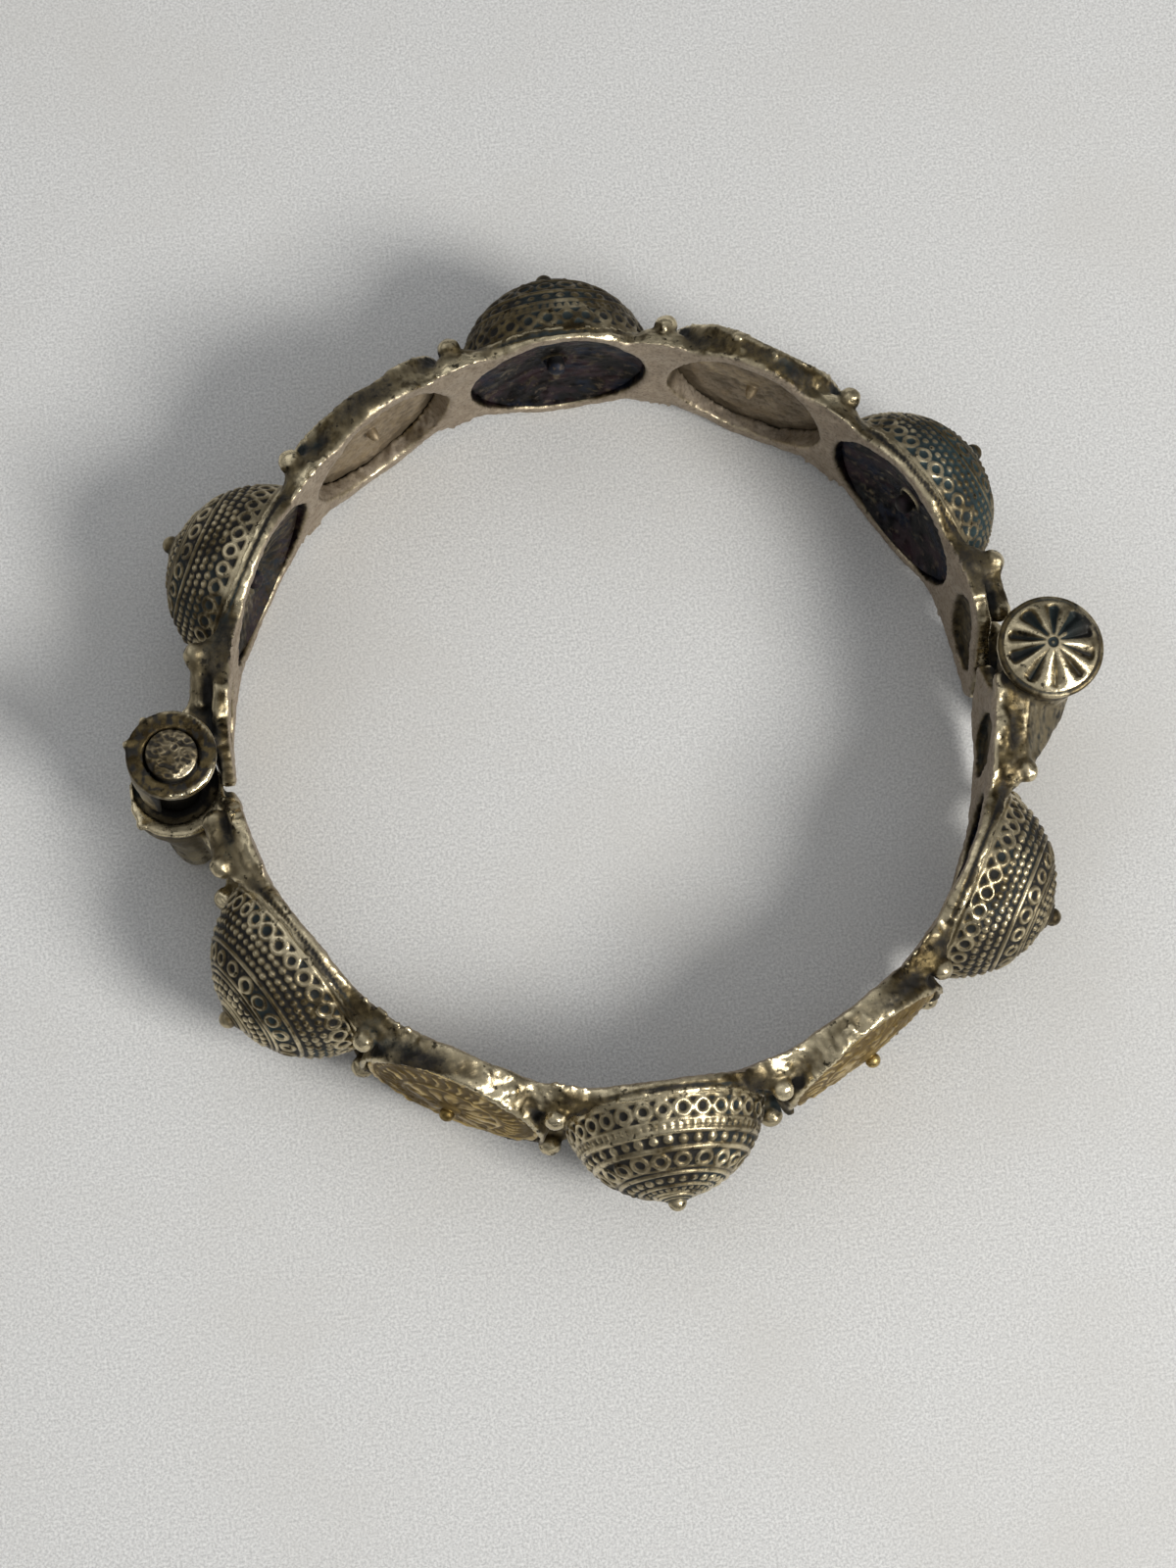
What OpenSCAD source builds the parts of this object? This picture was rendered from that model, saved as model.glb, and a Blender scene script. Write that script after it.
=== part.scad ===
// Hinged coin bangle, lying on its side.
// X runs from the hinge to the clasp, Y from the front half to the back half,
// Z is the wrist axis. The lowest edges stand on Z = 0. Millimetres.

/* [Ring] */
// Inner radius of each half
inner_r = 30; // [29:0.5:32]
// Distance of each half's own centre from the hinge-clasp line
half_shift = 0.5; // [0.3:0.1:0.7]
// Wall of the band between the units
band_t = 1.5; // [1.3:0.1:1.7]
// Height of the band between the units
band_h = 11; // [10:0.5:12]

/* [Domes] */
// Outer radius of a dome, which is also half the height of the bangle
dome_r = 8.2; // [8:0.05:8.3]
// Wall round the dish behind a dome
dome_wall = 0.8; // [0.7:0.05:1]
// Depth of the dish behind a dome
dish_depth = 1.5; // [1.2:0.1:1.8]
// Radius of the rounded rim around the foot of a dome
rim_r = 0.45; // [0.35:0.05:0.5]
// Radius of the knob on a dome
knob_r = 0.62; // [0.5:0.02:0.7]

/* [Coins] */
// Radius of a coin
coin_r = 7.4; // [7.2:0.05:7.5]
// Thickness of a coin
coin_t = 1.1; // [1:0.05:1.2]
// Outer radius of the bezel that holds a coin
bezel_r = 7.85; // [7.8:0.05:7.95]
// Radius of the opening behind a coin
window_r = 6.7; // [6.4:0.1:6.8]

/* [Beads] */
// Radius of the granule beads between the units
bead_r = 1; // [0.8:0.05:1.1]
// Height of a bead above or below the middle of the band
bead_z = 4.95; // [4.6:0.05:5]

/* [Hinge and clasp] */
// Distance of both joint axes from the middle
joint_x = 34.9; // [34.8:0.05:35]
// Radius of the upper knuckle
upper_r = 3.5; // [3.4:0.05:3.6]
// Radius of the lower knuckle
lower_r = 3.8; // [3.7:0.05:3.9]
// Radius of the hinge pin
hinge_pin_r = 1.9; // [1.8:0.05:2]
// Radius of the clasp pin
clasp_pin_r = 1.7; // [1.6:0.05:1.8]
// Radius of the clasp pin's head
head_r = 4.25; // [4.1:0.05:4.3]
// Clearance of a pin that turns or slides in a knuckle
run_fit = 0.08; // [0.06:0.01:0.1]
// Clearance of the hinge pin in the knuckle that holds it
held_fit = 0.02; // [0.02:0.01:0.03]

/* [Hidden] */
$fn = 48;

mid_z = dome_r;
band_r = inner_r + band_t;
knuckle_top = 16.2;
split_z = 8.2;
silver = [0.62, 0.58, 0.48];
brass = [0.66, 0.56, 0.36];
dark = [0.40, 0.36, 0.30];

// Units along a half: angle from its middle, 1 for a dome and 0 for a coin
UNIT_ANGLE = 0;
UNIT_DOME = 1;
UNITS = [[-59.7, 1], [-30.3, 0], [0, 1], [30.3, 0], [59.7, 1]];

// Bead pairs along a half: angle from its middle, distance from its centre
BEAD_ANGLE = 0;
BEAD_R = 1;
BEADS = [[-75.6, 33.1], [-44.2, 32.6], [-15.8, 32.6],
         [15.8, 32.6], [44.2, 32.6], [75.6, 33.1]];

// Outline of the end lobe that carries the upper knuckle, seen along X:
// distance from the joint axis towards its own half, height
LOBE_UP = [[9.5, 13.6], [7.6, 14.2], [5.2, 15.2], [3.2, 14.6], [0.9, 11.2], [-0.8, 8.4],
           [0.9, 4.5], [3.0, 1.9], [6.0, 1.5], [9.5, 2.8]];
// The same for the lobe that carries the lower knuckle
LOBE_LOW = [[9.5, 13.6], [7.6, 14.0], [5.6, 14.6], [3.6, 13.4], [2.0, 8.6], [0.4, 3.4],
            [1.3, 1.3], [3.6, 0.9], [6.2, 1.2], [9.5, 2.8]];
// Outlines of the hollows behind the two lobes, seen along X
HOLLOW_UP = [[4.9, 13.1], [3.7, 12.5], [2.9, 10.6], [2.5, 8.0], [2.7, 5.4], [3.6, 3.5],
             [4.9, 2.9], [6.2, 3.5], [7.0, 5.4], [7.2, 8.0], [7.0, 10.6], [6.2, 12.6]];
HOLLOW_LOW = [[5.6, 12.8], [4.5, 11.8], [3.5, 9.6], [2.6, 7.0], [2.3, 4.8], [3.2, 3.0],
              [4.6, 2.6], [6.0, 3.4], [6.9, 5.4], [7.2, 8.0], [7.2, 10.4], [6.6, 12.3]];
// Plan of the gusset between a knuckle and the band:
// distance outward from the inner wall, distance from the axis towards its own half
GUSSET = [[0.35, 1.1], [2.6, 0.7], [6.9, 1.5], [6.5, 3.8], [5.0, 5.6], [3.4, 6.8], [2.2, 7.15], [0, 7.2]];

// Places its children on a unit: local Z points out, local Y down
module on_unit(a) {
    translate([0, half_shift, mid_z]) rotate([0, 0, -a]) rotate([-90, 0, 0]) children();
}

// Points of an arc: centre, radius, first and last angle, number of steps
function arc(cx, cy, r, a0, a1, n) =
    [for (i = [0:n]) let (a = a0 + (a1 - a0) * i / n) [cx + r * cos(a), cy + r * sin(a)]];

// Outer form of a dome with its rim, stepped collar and knob.
// Profile points are [distance from the dome's axis, distance from the half's centre]
module dome_body() {
    rotate_extrude() polygon(concat(
        [[0, 27.5], [dome_r - 0.25, 27.5], [dome_r - 0.25, 30.6]],
        arc(dome_r - rim_r, 31.1, rim_r, -50, 50, 4),
        arc(0, inner_r - 0.1, dome_r - 0.1, 14, 78, 8),
        [[1.4, 37.95], [1.4, 38.2], [knob_r, 38.25]],
        arc(0, 38.35, knob_r, 15, 75, 3),
        [[0, 38.35 + knob_r]]));
}

// Dish behind a dome, open to the wrist side
module dome_dish() {
    dish_r = dome_r - 0.2 - dome_wall;
    ball_r = (dish_r * dish_r + dish_depth * dish_depth) / (2 * dish_depth);
    rotate_extrude() polygon(concat(
        [[0, 27], [dish_r, 27], [dish_r, 30.15]],
        [for (i = [1:6]) let (q = dish_r * (1 - i / 6))
            [q, 30.15 + dish_depth - ball_r + sqrt(ball_r * ball_r - q * q)]]));
}

// Pip in the middle of the dish behind a dome
module dish_pip() {
    rotate_extrude($fn = 24) polygon(concat(
        [[0, 32.2], [0.55, 32.2], [0.55, 30.85]], arc(0, 30.8, 0.6, 0, -80, 5), [[0, 30.2]]));
}

// Granule bead on a short tapered collar, centred at distance d
module bead_body(d) {
    rotate_extrude($fn = 24) polygon(concat(
        [[0, band_r - 0.7], [1.05, band_r - 0.7], [0.75, d - 0.8]],
        arc(0, d, bead_r, -40, 75, 6), [[0, d + bead_r]]));
}

// Bezel of a coin
module bezel_body() {
    rotate_extrude() polygon([[0, 27.6], [bezel_r - 0.15, 27.6], [bezel_r - 0.15, 31.5],
                              [bezel_r, 31.8], [bezel_r, 32.5], [bezel_r - 0.2, 32.8], [0, 32.8]]);
}

// Seat and window of a coin
module bezel_hollow() {
    rotate_extrude() polygon([[0, 27], [window_r, 27], [window_r, 31.3],
                              [coin_r + 0.05, 31.3], [coin_r + 0.05, 31.4 + coin_t],
                              [coin_r - 0.15, 31.45 + coin_t], [coin_r - 0.15, 34], [0, 34]]);
}

// Plate with an outline in (distance to own half, height), from x0 to x1 on one side
module side_plate(outline, side, x0, x1) {
    translate([side > 0 ? x0 : -x0, 0, 0])
        rotate([90, 0, 90])
            mirror([0, 0, side > 0 ? 0 : 1])
                linear_extrude(height = x1 - x0) polygon(outline);
}

// Gusset between a knuckle and the band
module gusset(side, z0, z1) {
    translate([0, 0, z0]) linear_extrude(height = z1 - z0)
        polygon([for (p = GUSSET) [side * (inner_r + p[0]), p[1]]]);
}

module ring_cut(r, z0, z1) {
    translate([0, half_shift, z0]) cylinder(r = r, h = z1 - z0, $fn = 180);
}

// One cast half, drawn as the back half: upper knuckle on the left, lower on the right
module casting(upper_bore, lower_bore) {
    difference() {
        union() {
            // band between the units
            difference() {
                intersection() {
                    translate([0, 0, mid_z - band_h / 2])
                        translate([0, half_shift, 0]) cylinder(r = band_r, h = band_h, $fn = 180);
                    translate([-40, 8, -1]) cube([80, 40, 20]);
                }
                ring_cut(inner_r - 3, -1, 18);
            }
            // end lobes
            intersection() {
                union() {
                    side_plate(LOBE_UP, -1, 27, 34);
                    side_plate(LOBE_LOW, 1, 27, 34);
                }
                translate([0, half_shift, -1]) cylinder(r = band_r, h = 20, $fn = 180);
            }
            // units
            for (u = UNITS) on_unit(u[UNIT_ANGLE]) {
                if (u[UNIT_DOME] == 1) dome_body(); else bezel_body();
            }
            // bead pairs on short collars
            for (b = BEADS, s = [-1, 1]) on_unit(b[BEAD_ANGLE]) translate([0, s * bead_z, 0])
                bead_body(b[BEAD_R]);
            // knuckles and their gussets
            translate([-joint_x, 0, split_z + 0.3])
                cylinder(r = upper_r, h = knuckle_top - split_z - 0.3);
            gusset(-1, split_z + 0.35, 15.4);
            translate([joint_x, 0, 0]) cylinder(r = lower_r, h = split_z - 0.1);
            gusset(1, 0.7, split_z - 0.5);
        }
        // wrist side
        ring_cut(inner_r, -2, 20);
        for (u = UNITS) on_unit(u[UNIT_ANGLE]) {
            if (u[UNIT_DOME] == 1) dome_dish(); else bezel_hollow();
        }
        intersection() {
            union() {
                side_plate(HOLLOW_UP, -1, 27, 34);
                side_plate(HOLLOW_LOW, 1, 27, 34);
            }
            ring_cut(inner_r + 0.85, -3, 21);
        }
        // room for the other half's knuckles
        translate([-joint_x, 0, -1]) cylinder(r = lower_r + 0.3, h = split_z + 1.15);
        translate([joint_x, 0, split_z + 0.1]) cylinder(r = upper_r + 0.35, h = 12);
        // bores
        translate([-joint_x, 0, 0]) cylinder(r = upper_bore, h = 20);
        translate([joint_x, 0, -1]) cylinder(r = lower_bore, h = 20);
        // shallow cup in the top of the lower knuckle
        translate([joint_x, 0, split_z - 0.8]) cylinder(r = lower_r - 0.9, h = 2);
    }
    for (u = UNITS) if (u[UNIT_DOME] == 1) on_unit(u[UNIT_ANGLE]) dish_pip();
}

// Coin on a unit of a half, with its centre stud
module coin(a) {
    on_unit(a) {
        translate([0, 0, 31.35]) cylinder(r = coin_r, h = coin_t);
        translate([0, 0, 31.35 + coin_t - 0.1]) cylinder(r1 = 0.9, r2 = 0.7, h = 0.45, $fn = 24);
        translate([0, 0, 31.35 + coin_t + 0.35]) sphere(r = 0.6, $fn = 24);
        translate([0, 0, 30.65]) cylinder(r = 0.42, h = 0.75, $fn = 24);
        translate([0, 0, 30.65]) sphere(r = 0.45, $fn = 24);
    }
}

module back_half() {
    color(silver) casting(hinge_pin_r + run_fit, clasp_pin_r + run_fit);
}
module front_half() {
    color(silver) rotate([0, 0, 180]) casting(clasp_pin_r + run_fit, hinge_pin_r + held_fit);
}
module coin_back_left() { color(brass) coin(UNITS[1][UNIT_ANGLE]); }
module coin_back_right() { color(brass) coin(UNITS[3][UNIT_ANGLE]); }
module coin_front_left() { color(brass) rotate([0, 0, 180]) coin(UNITS[3][UNIT_ANGLE]); }
module coin_front_right() { color(brass) rotate([0, 0, 180]) coin(UNITS[1][UNIT_ANGLE]); }

module hinge_pin() {
    color(dark) translate([-joint_x, 0, 0.5]) cylinder(r = hinge_pin_r, h = knuckle_top - 0.5);
}

// Pin with a flat rim and a domed head, dimpled on top
module clasp_pin() {
    color(silver) difference() {
        union() {
            translate([joint_x, 0, 0.6]) cylinder(r = clasp_pin_r, h = knuckle_top);
            translate([joint_x, 0, knuckle_top + 0.05]) cylinder(r = head_r, h = 0.75);
            translate([joint_x, 0, knuckle_top + 0.75]) intersection() {
                translate([0, 0, -4.4]) sphere(r = 5.9, $fn = 64);
                cylinder(r = head_r - 0.25, h = 3);
            }
        }
        translate([joint_x, 0, knuckle_top + 2.35]) sphere(r = 0.45, $fn = 24);
    }
}

back_half();
front_half();
coin_back_left();
coin_back_right();
coin_front_left();
coin_front_right();
hinge_pin();
clasp_pin();
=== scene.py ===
import bpy
import math
import numpy as np
from mathutils import Matrix, Vector


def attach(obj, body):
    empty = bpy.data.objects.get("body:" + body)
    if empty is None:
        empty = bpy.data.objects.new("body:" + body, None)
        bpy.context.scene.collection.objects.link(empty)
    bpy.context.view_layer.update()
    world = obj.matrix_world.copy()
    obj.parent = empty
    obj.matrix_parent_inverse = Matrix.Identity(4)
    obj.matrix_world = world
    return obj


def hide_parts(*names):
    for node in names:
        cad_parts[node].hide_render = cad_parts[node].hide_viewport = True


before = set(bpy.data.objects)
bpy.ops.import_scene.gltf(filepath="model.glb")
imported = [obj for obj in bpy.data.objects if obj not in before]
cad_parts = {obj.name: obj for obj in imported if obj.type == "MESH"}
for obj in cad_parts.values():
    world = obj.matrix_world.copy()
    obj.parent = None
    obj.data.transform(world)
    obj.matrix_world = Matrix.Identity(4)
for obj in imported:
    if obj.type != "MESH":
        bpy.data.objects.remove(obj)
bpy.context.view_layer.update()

# ---------------------------------------------------------------- camera
# Ring frame, millimetres: X hinge to clasp, Y to the back half, Z up.
F_PX = 4505.0                    # focal length for a 1200 x 1600 frame
TILT, ROLL, YAW = 16.0, 10.07, 17.58
CAM = (-0.88, -102.12, 347.74)   # before the yaw is undone


def camera():
    t, r, w = (math.radians(v) for v in (TILT, ROLL, YAW))
    right = Vector((1, 0, 0))
    up = Vector((0, math.cos(t), math.sin(t)))
    back = Vector((0, -math.sin(t), math.cos(t)))
    cr = math.cos(r) * right + math.sin(r) * up
    cu = -math.sin(r) * right + math.cos(r) * up
    turn = Matrix.Rotation(-w, 3, "Z")
    cr, cu, back = turn @ cr, turn @ cu, turn @ back
    pos = (turn @ Vector(CAM)) * 0.001
    cam = bpy.data.cameras.new("photo_camera")
    cam.sensor_fit = "AUTO"
    cam.sensor_width = 36.0
    cam.lens = F_PX * 36.0 / 1600.0
    cam.clip_start = 0.01
    cam.clip_end = 10.0
    ob = bpy.data.objects.new("photo_camera", cam)
    bpy.context.scene.collection.objects.link(ob)
    m = Matrix((cr, cu, back)).transposed().to_4x4()
    m.translation = pos
    ob.matrix_world = m
    bpy.context.scene.camera = ob


camera()

# ---------------------------------------------------------------- sizes, mm
MID_Z = 8.2
INNER = 30.0
SHIFT = 0.5                      # of each half's own centre
JOINT_X = 34.9
SPLIT_Z = 8.2
TOP_Z = 16.2
UNITS = [(-59.7, 1), (-30.3, 0), (0.0, 2), (30.3, 0), (59.7, 1)]   # 1, 2 domes, 0 coins
BEADS = [(-75.6, 33.1), (-44.2, 32.6), (-15.8, 32.6), (15.8, 32.6), (44.2, 32.6), (75.6, 33.1)]
LOBE_UP = [(9.5, 13.6), (7.6, 14.2), (5.2, 15.2), (3.2, 14.6), (0.9, 11.8), (-1.25, 9.5),
           (-0.7, 7.6), (-0.1, 5.4), (0.7, 3.6), (1.8, 2.2), (6.0, 1.5), (9.5, 2.8)]
LOBE_LOW = [(9.5, 13.6), (7.6, 14.0), (5.6, 14.6), (3.6, 13.4), (2.0, 8.6), (0.4, 3.4),
            (1.3, 1.3), (3.6, 0.9), (6.2, 1.2), (9.5, 2.8)]
HOLLOW_UP = [(4.9, 13.1), (3.7, 12.5), (2.9, 10.6), (2.5, 8.0), (2.7, 5.4), (3.6, 3.5),
             (4.9, 2.9), (6.2, 3.5), (7.0, 5.4), (7.2, 8.0), (7.0, 10.6), (6.2, 12.6)]
HOLLOW_LOW = [(5.6, 12.8), (4.5, 11.8), (3.5, 9.6), (2.6, 7.0), (2.3, 4.8), (3.2, 3.0),
              (4.6, 2.6), (6.0, 3.4), (6.9, 5.4), (7.2, 8.0), (7.2, 10.4), (6.6, 12.3)]
GUSSET_UP = [(0.35, 1.1), (2.6, 0.7), (5.6, 1.3), (5.4, 3.0), (4.2, 4.2), (3.2, 5.2), (2.2, 6.2), (0, 6.6)]
GUSSET_CLASP = [(0.35, 1.1), (2.6, 0.7), (7.6, 1.3), (7.7, 2.6), (6.7, 4.4), (5.5, 5.9), (4.3, 7.3), (3.2, 8.5), (0, 8.8)]
GUSSET = [(0.35, 1.1), (2.6, 0.7), (4.8, 1.3), (4.2, 3.2), (3.3, 4.8), (2.5, 6.2), (1.7, 7.0), (0, 7.2)]
F32 = np.float32


# ---------------------------------------------------------------- helpers
def smin(a, b, k):
    h = np.clip(0.5 + 0.5 * (b - a) / k, 0, 1)
    return b * (1 - h) + a * h - k * h * (1 - h)


def smax(a, b, k):
    return -smin(-a, -b, k)


def smooth(x, lo, hi):
    t = np.clip((x - lo) / (hi - lo), 0, 1)
    return t * t * (3 - 2 * t)


def poly_sdf(px, py, pts):
    """Signed distance to a polygon, negative inside, on arrays."""
    pts = np.asarray(pts, F32)
    d = np.full(px.shape, 1e9, F32)
    inside = np.zeros(px.shape, bool)
    n = len(pts)
    for i in range(n):
        ax, ay = pts[i]
        bx, by = pts[(i + 1) % n]
        ex, ey = bx - ax, by - ay
        wx, wy = px - ax, py - ay
        t = np.clip((wx * ex + wy * ey) / (ex * ex + ey * ey), 0, 1)
        d = np.minimum(d, (wx - ex * t) ** 2 + (wy - ey * t) ** 2)
        crossing = ((ay > py) != (by > py)) & (px < (bx - ax) * (py - ay) / (by - ay + 1e-12) + ax)
        inside ^= crossing
    d = np.sqrt(d)
    return np.where(inside, -d, d).astype(F32)


class Waves:
    """Smooth seeded noise, a sum of plane waves with lengths from lo to hi."""

    def __init__(self, seed, n, lo, hi):
        r = np.random.RandomState(seed)
        d = r.normal(size=(n, 3))
        d /= np.linalg.norm(d, axis=1)[:, None]
        k = 2 * np.pi / np.exp(r.uniform(np.log(lo), np.log(hi), n))
        self.k = (d * k[:, None]).astype(F32)
        self.p = r.uniform(0, 2 * np.pi, n).astype(F32)

    def __call__(self, pts):
        out = np.zeros(len(pts), F32)
        for k, p in zip(self.k, self.p):
            out += np.sin(pts @ k + p)
        return out * (1.4142 / math.sqrt(len(self.p)))


def surface_nets(d, origin, h):
    """Quad mesh of the zero level of a grid of signed distances."""
    s = d < 0
    cnt = np.zeros(tuple(n - 1 for n in d.shape), np.int8)
    for i in (0, 1):
        for j in (0, 1):
            for k in (0, 1):
                cnt += s[i:d.shape[0] - 1 + i, j:d.shape[1] - 1 + j, k:d.shape[2] - 1 + k]
    act = (cnt > 0) & (cnt < 8)
    ci, cj, ck = np.nonzero(act)
    vid = np.full(cnt.shape, -1, np.int32)
    vid[ci, cj, ck] = np.arange(len(ci))
    corner = {}
    for i in (0, 1):
        for j in (0, 1):
            for k in (0, 1):
                corner[(i, j, k)] = d[ci + i, cj + j, ck + k].astype(F32)
    acc = np.zeros((len(ci), 3), F32)
    num = np.zeros(len(ci), F32)
    for axis in range(3):
        for a in (0, 1):
            for b in (0, 1):
                c0 = [a, b]
                c0.insert(axis, 0)
                c1 = [a, b]
                c1.insert(axis, 1)
                v0, v1 = corner[tuple(c0)], corner[tuple(c1)]
                m = (v0 < 0) != (v1 < 0)
                t = np.where(m, v0 / np.where(m, v0 - v1, 1), 0)
                for q in range(3):
                    acc[:, q] += np.where(m, t if q == axis else c0[q], 0)
                num += m
    pos = acc / num[:, None] + np.stack([ci, cj, ck], 1)
    verts = (pos * h + np.asarray(origin, F32)).astype(F32)
    faces = []
    for axis in range(3):
        o = [x for x in range(3) if x != axis]
        lo = [slice(None)] * 3
        hi = [slice(None)] * 3
        lo[axis] = slice(0, d.shape[axis] - 1)
        hi[axis] = slice(1, d.shape[axis])
        for q in o:
            lo[q] = slice(1, d.shape[q] - 1)
            hi[q] = slice(1, d.shape[q] - 1)
        s0, s1 = s[tuple(lo)], s[tuple(hi)]
        ei = np.nonzero(s0 != s1)
        base = [None] * 3
        base[axis] = ei[axis]
        for q in o:
            base[q] = ei[q] + 1
        inside_first = s0[ei]
        quad = []
        for da, db in ((-1, -1), (0, -1), (0, 0), (-1, 0)):
            idx = list(base)
            idx[o[0]] = base[o[0]] + da
            idx[o[1]] = base[o[1]] + db
            quad.append(vid[tuple(idx)])
        quad = np.stack(quad, 1)
        if axis == 1:
            inside_first = ~inside_first
        quad = np.where(inside_first[:, None], quad, quad[:, ::-1])
        faces.append(quad)
    return verts, np.concatenate(faces)


def sample(d, origin, h, pts):
    """Trilinear sample of a grid at points."""
    q = (pts - np.asarray(origin, F32)) / h
    q = np.clip(q, 0, np.array(d.shape, F32) - 1.001)
    i = q.astype(np.int32)
    f = q - i
    out = np.zeros(len(pts), F32)
    for a in (0, 1):
        for b in (0, 1):
            for c in (0, 1):
                w = (f[:, 0] if a else 1 - f[:, 0]) * (f[:, 1] if b else 1 - f[:, 1]) * (f[:, 2] if c else 1 - f[:, 2])
                out += w * d[i[:, 0] + a, i[:, 1] + b, i[:, 2] + c]
    return out


def vertex_normals(v, quads):
    """Normals of a mesh of quads or triangles."""
    n = np.zeros_like(v)
    a, b = v[quads[:, 2]] - v[quads[:, 0]], v[quads[:, -1]] - v[quads[:, 1]]
    fn = np.cross(a, b)
    for c in range(quads.shape[1]):
        for q in range(3):
            n[:, q] += np.bincount(quads[:, c], fn[:, q], len(v))
    return n / np.maximum(np.linalg.norm(n, axis=1), 1e-12)[:, None]


def neighbours_mean(val, quads):
    """Mean of the values round each vertex, over its faces."""
    acc = np.zeros_like(val)
    cnt = np.bincount(quads.ravel(), minlength=len(val)).astype(F32)
    two = val.ndim == 2
    fm = val[quads].mean(1)
    for c in range(quads.shape[1]):
        if two:
            for q in range(val.shape[1]):
                acc[:, q] += np.bincount(quads[:, c], fm[:, q], len(val))
        else:
            acc += np.bincount(quads[:, c], fm, len(val))
    return acc / (cnt[:, None] if two else cnt)


def add_mesh(name, verts_mm, face_groups, attrs, material, body, flip=False, smooth_shade=True):
    """A piece from arrays: vertices in mm, lists of faces, point attributes."""
    v = np.asarray(verts_mm, np.float64).copy()
    if flip:
        v[:, 0] *= -1
        v[:, 1] *= -1
    me = bpy.data.meshes.new(name)
    loops, starts, n = [], [], 0
    for fg in face_groups:
        fg = np.asarray(fg, np.int32)
        k = fg.shape[1]
        loops.append(fg.ravel())
        starts.append(n + np.arange(len(fg), dtype=np.int32) * k)
        n += fg.size
    loops = np.concatenate(loops)
    starts = np.concatenate(starts)
    me.vertices.add(len(v))
    me.vertices.foreach_set("co", (v * 0.001).ravel())
    me.loops.add(len(loops))
    me.loops.foreach_set("vertex_index", loops)
    me.polygons.add(len(starts))
    me.polygons.foreach_set("loop_start", starts)
    me.update(calc_edges=True)
    me.validate()
    me.polygons.foreach_set("use_smooth", np.full(len(me.polygons), smooth_shade))
    for key, val in attrs.items():
        at = me.attributes.new(key, "FLOAT", "POINT")
        at.data.foreach_set("value", np.asarray(val, F32))
    me.materials.append(material)
    ob = bpy.data.objects.new(name, me)
    bpy.context.scene.collection.objects.link(ob)
    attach(ob, body)
    return ob


# ---------------------------------------------------------------- materials
def nodes_of(name):
    m = bpy.data.materials.new(name)
    m.use_nodes = True
    nt = m.node_tree
    nt.nodes.clear()
    out = nt.nodes.new("ShaderNodeOutputMaterial")
    bsdf = nt.nodes.new("ShaderNodeBsdfPrincipled")
    nt.links.new(bsdf.outputs["BSDF"], out.inputs["Surface"])
    return m, nt, bsdf


class Graph:
    """Short calls for the few node types that are used."""

    def __init__(self, nt):
        self.nt = nt
        tc = nt.nodes.new("ShaderNodeTexCoord")
        self.obj = tc.outputs["Object"]

    def put(self, socket, value):
        if hasattr(value, "is_linked") or hasattr(value, "links"):
            self.nt.links.new(value, socket)
        else:
            socket.default_value = value

    def noise(self, scale, detail=4.0, rough=0.55, dist=0.0):
        n = self.nt.nodes.new("ShaderNodeTexNoise")
        n.inputs["Scale"].default_value = scale
        n.inputs["Detail"].default_value = detail
        n.inputs["Roughness"].default_value = rough
        n.inputs["Distortion"].default_value = dist
        self.nt.links.new(self.obj, n.inputs["Vector"])
        return n.outputs["Fac"]

    def attr(self, name):
        n = self.nt.nodes.new("ShaderNodeAttribute")
        n.attribute_name = name
        return n.outputs["Fac"]

    def math(self, op, a, b=0.0, c=0.0, clamp=False):
        n = self.nt.nodes.new("ShaderNodeMath")
        n.operation = op
        n.use_clamp = clamp
        self.put(n.inputs[0], a)
        self.put(n.inputs[1], b)
        if len(n.inputs) > 2:
            self.put(n.inputs[2], c)
        return n.outputs[0]

    def ramp(self, fac, lo, hi, a=0.0, b=1.0):
        n = self.nt.nodes.new("ShaderNodeMapRange")
        n.interpolation_type = "SMOOTHSTEP"
        self.put(n.inputs["Value"], fac)
        n.inputs["From Min"].default_value = lo
        n.inputs["From Max"].default_value = hi
        n.inputs["To Min"].default_value = a
        n.inputs["To Max"].default_value = b
        return n.outputs["Result"]

    def mix(self, fac, a, b):
        n = self.nt.nodes.new("ShaderNodeMix")
        n.data_type = "RGBA"
        self.put(n.inputs[0], fac)
        for sock, val in ((n.inputs[6], a), (n.inputs[7], b)):
            if isinstance(val, tuple):
                sock.default_value = (*val, 1.0)
            else:
                self.nt.links.new(val, sock)
        return n.outputs[2]

    def bump(self, height, strength, dist, normal=None):
        n = self.nt.nodes.new("ShaderNodeBump")
        n.inputs["Strength"].default_value = strength
        n.inputs["Distance"].default_value = dist
        self.nt.links.new(height, n.inputs["Height"])
        if normal is not None:
            self.nt.links.new(normal, n.inputs["Normal"])
        return n.outputs["Normal"]


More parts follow.
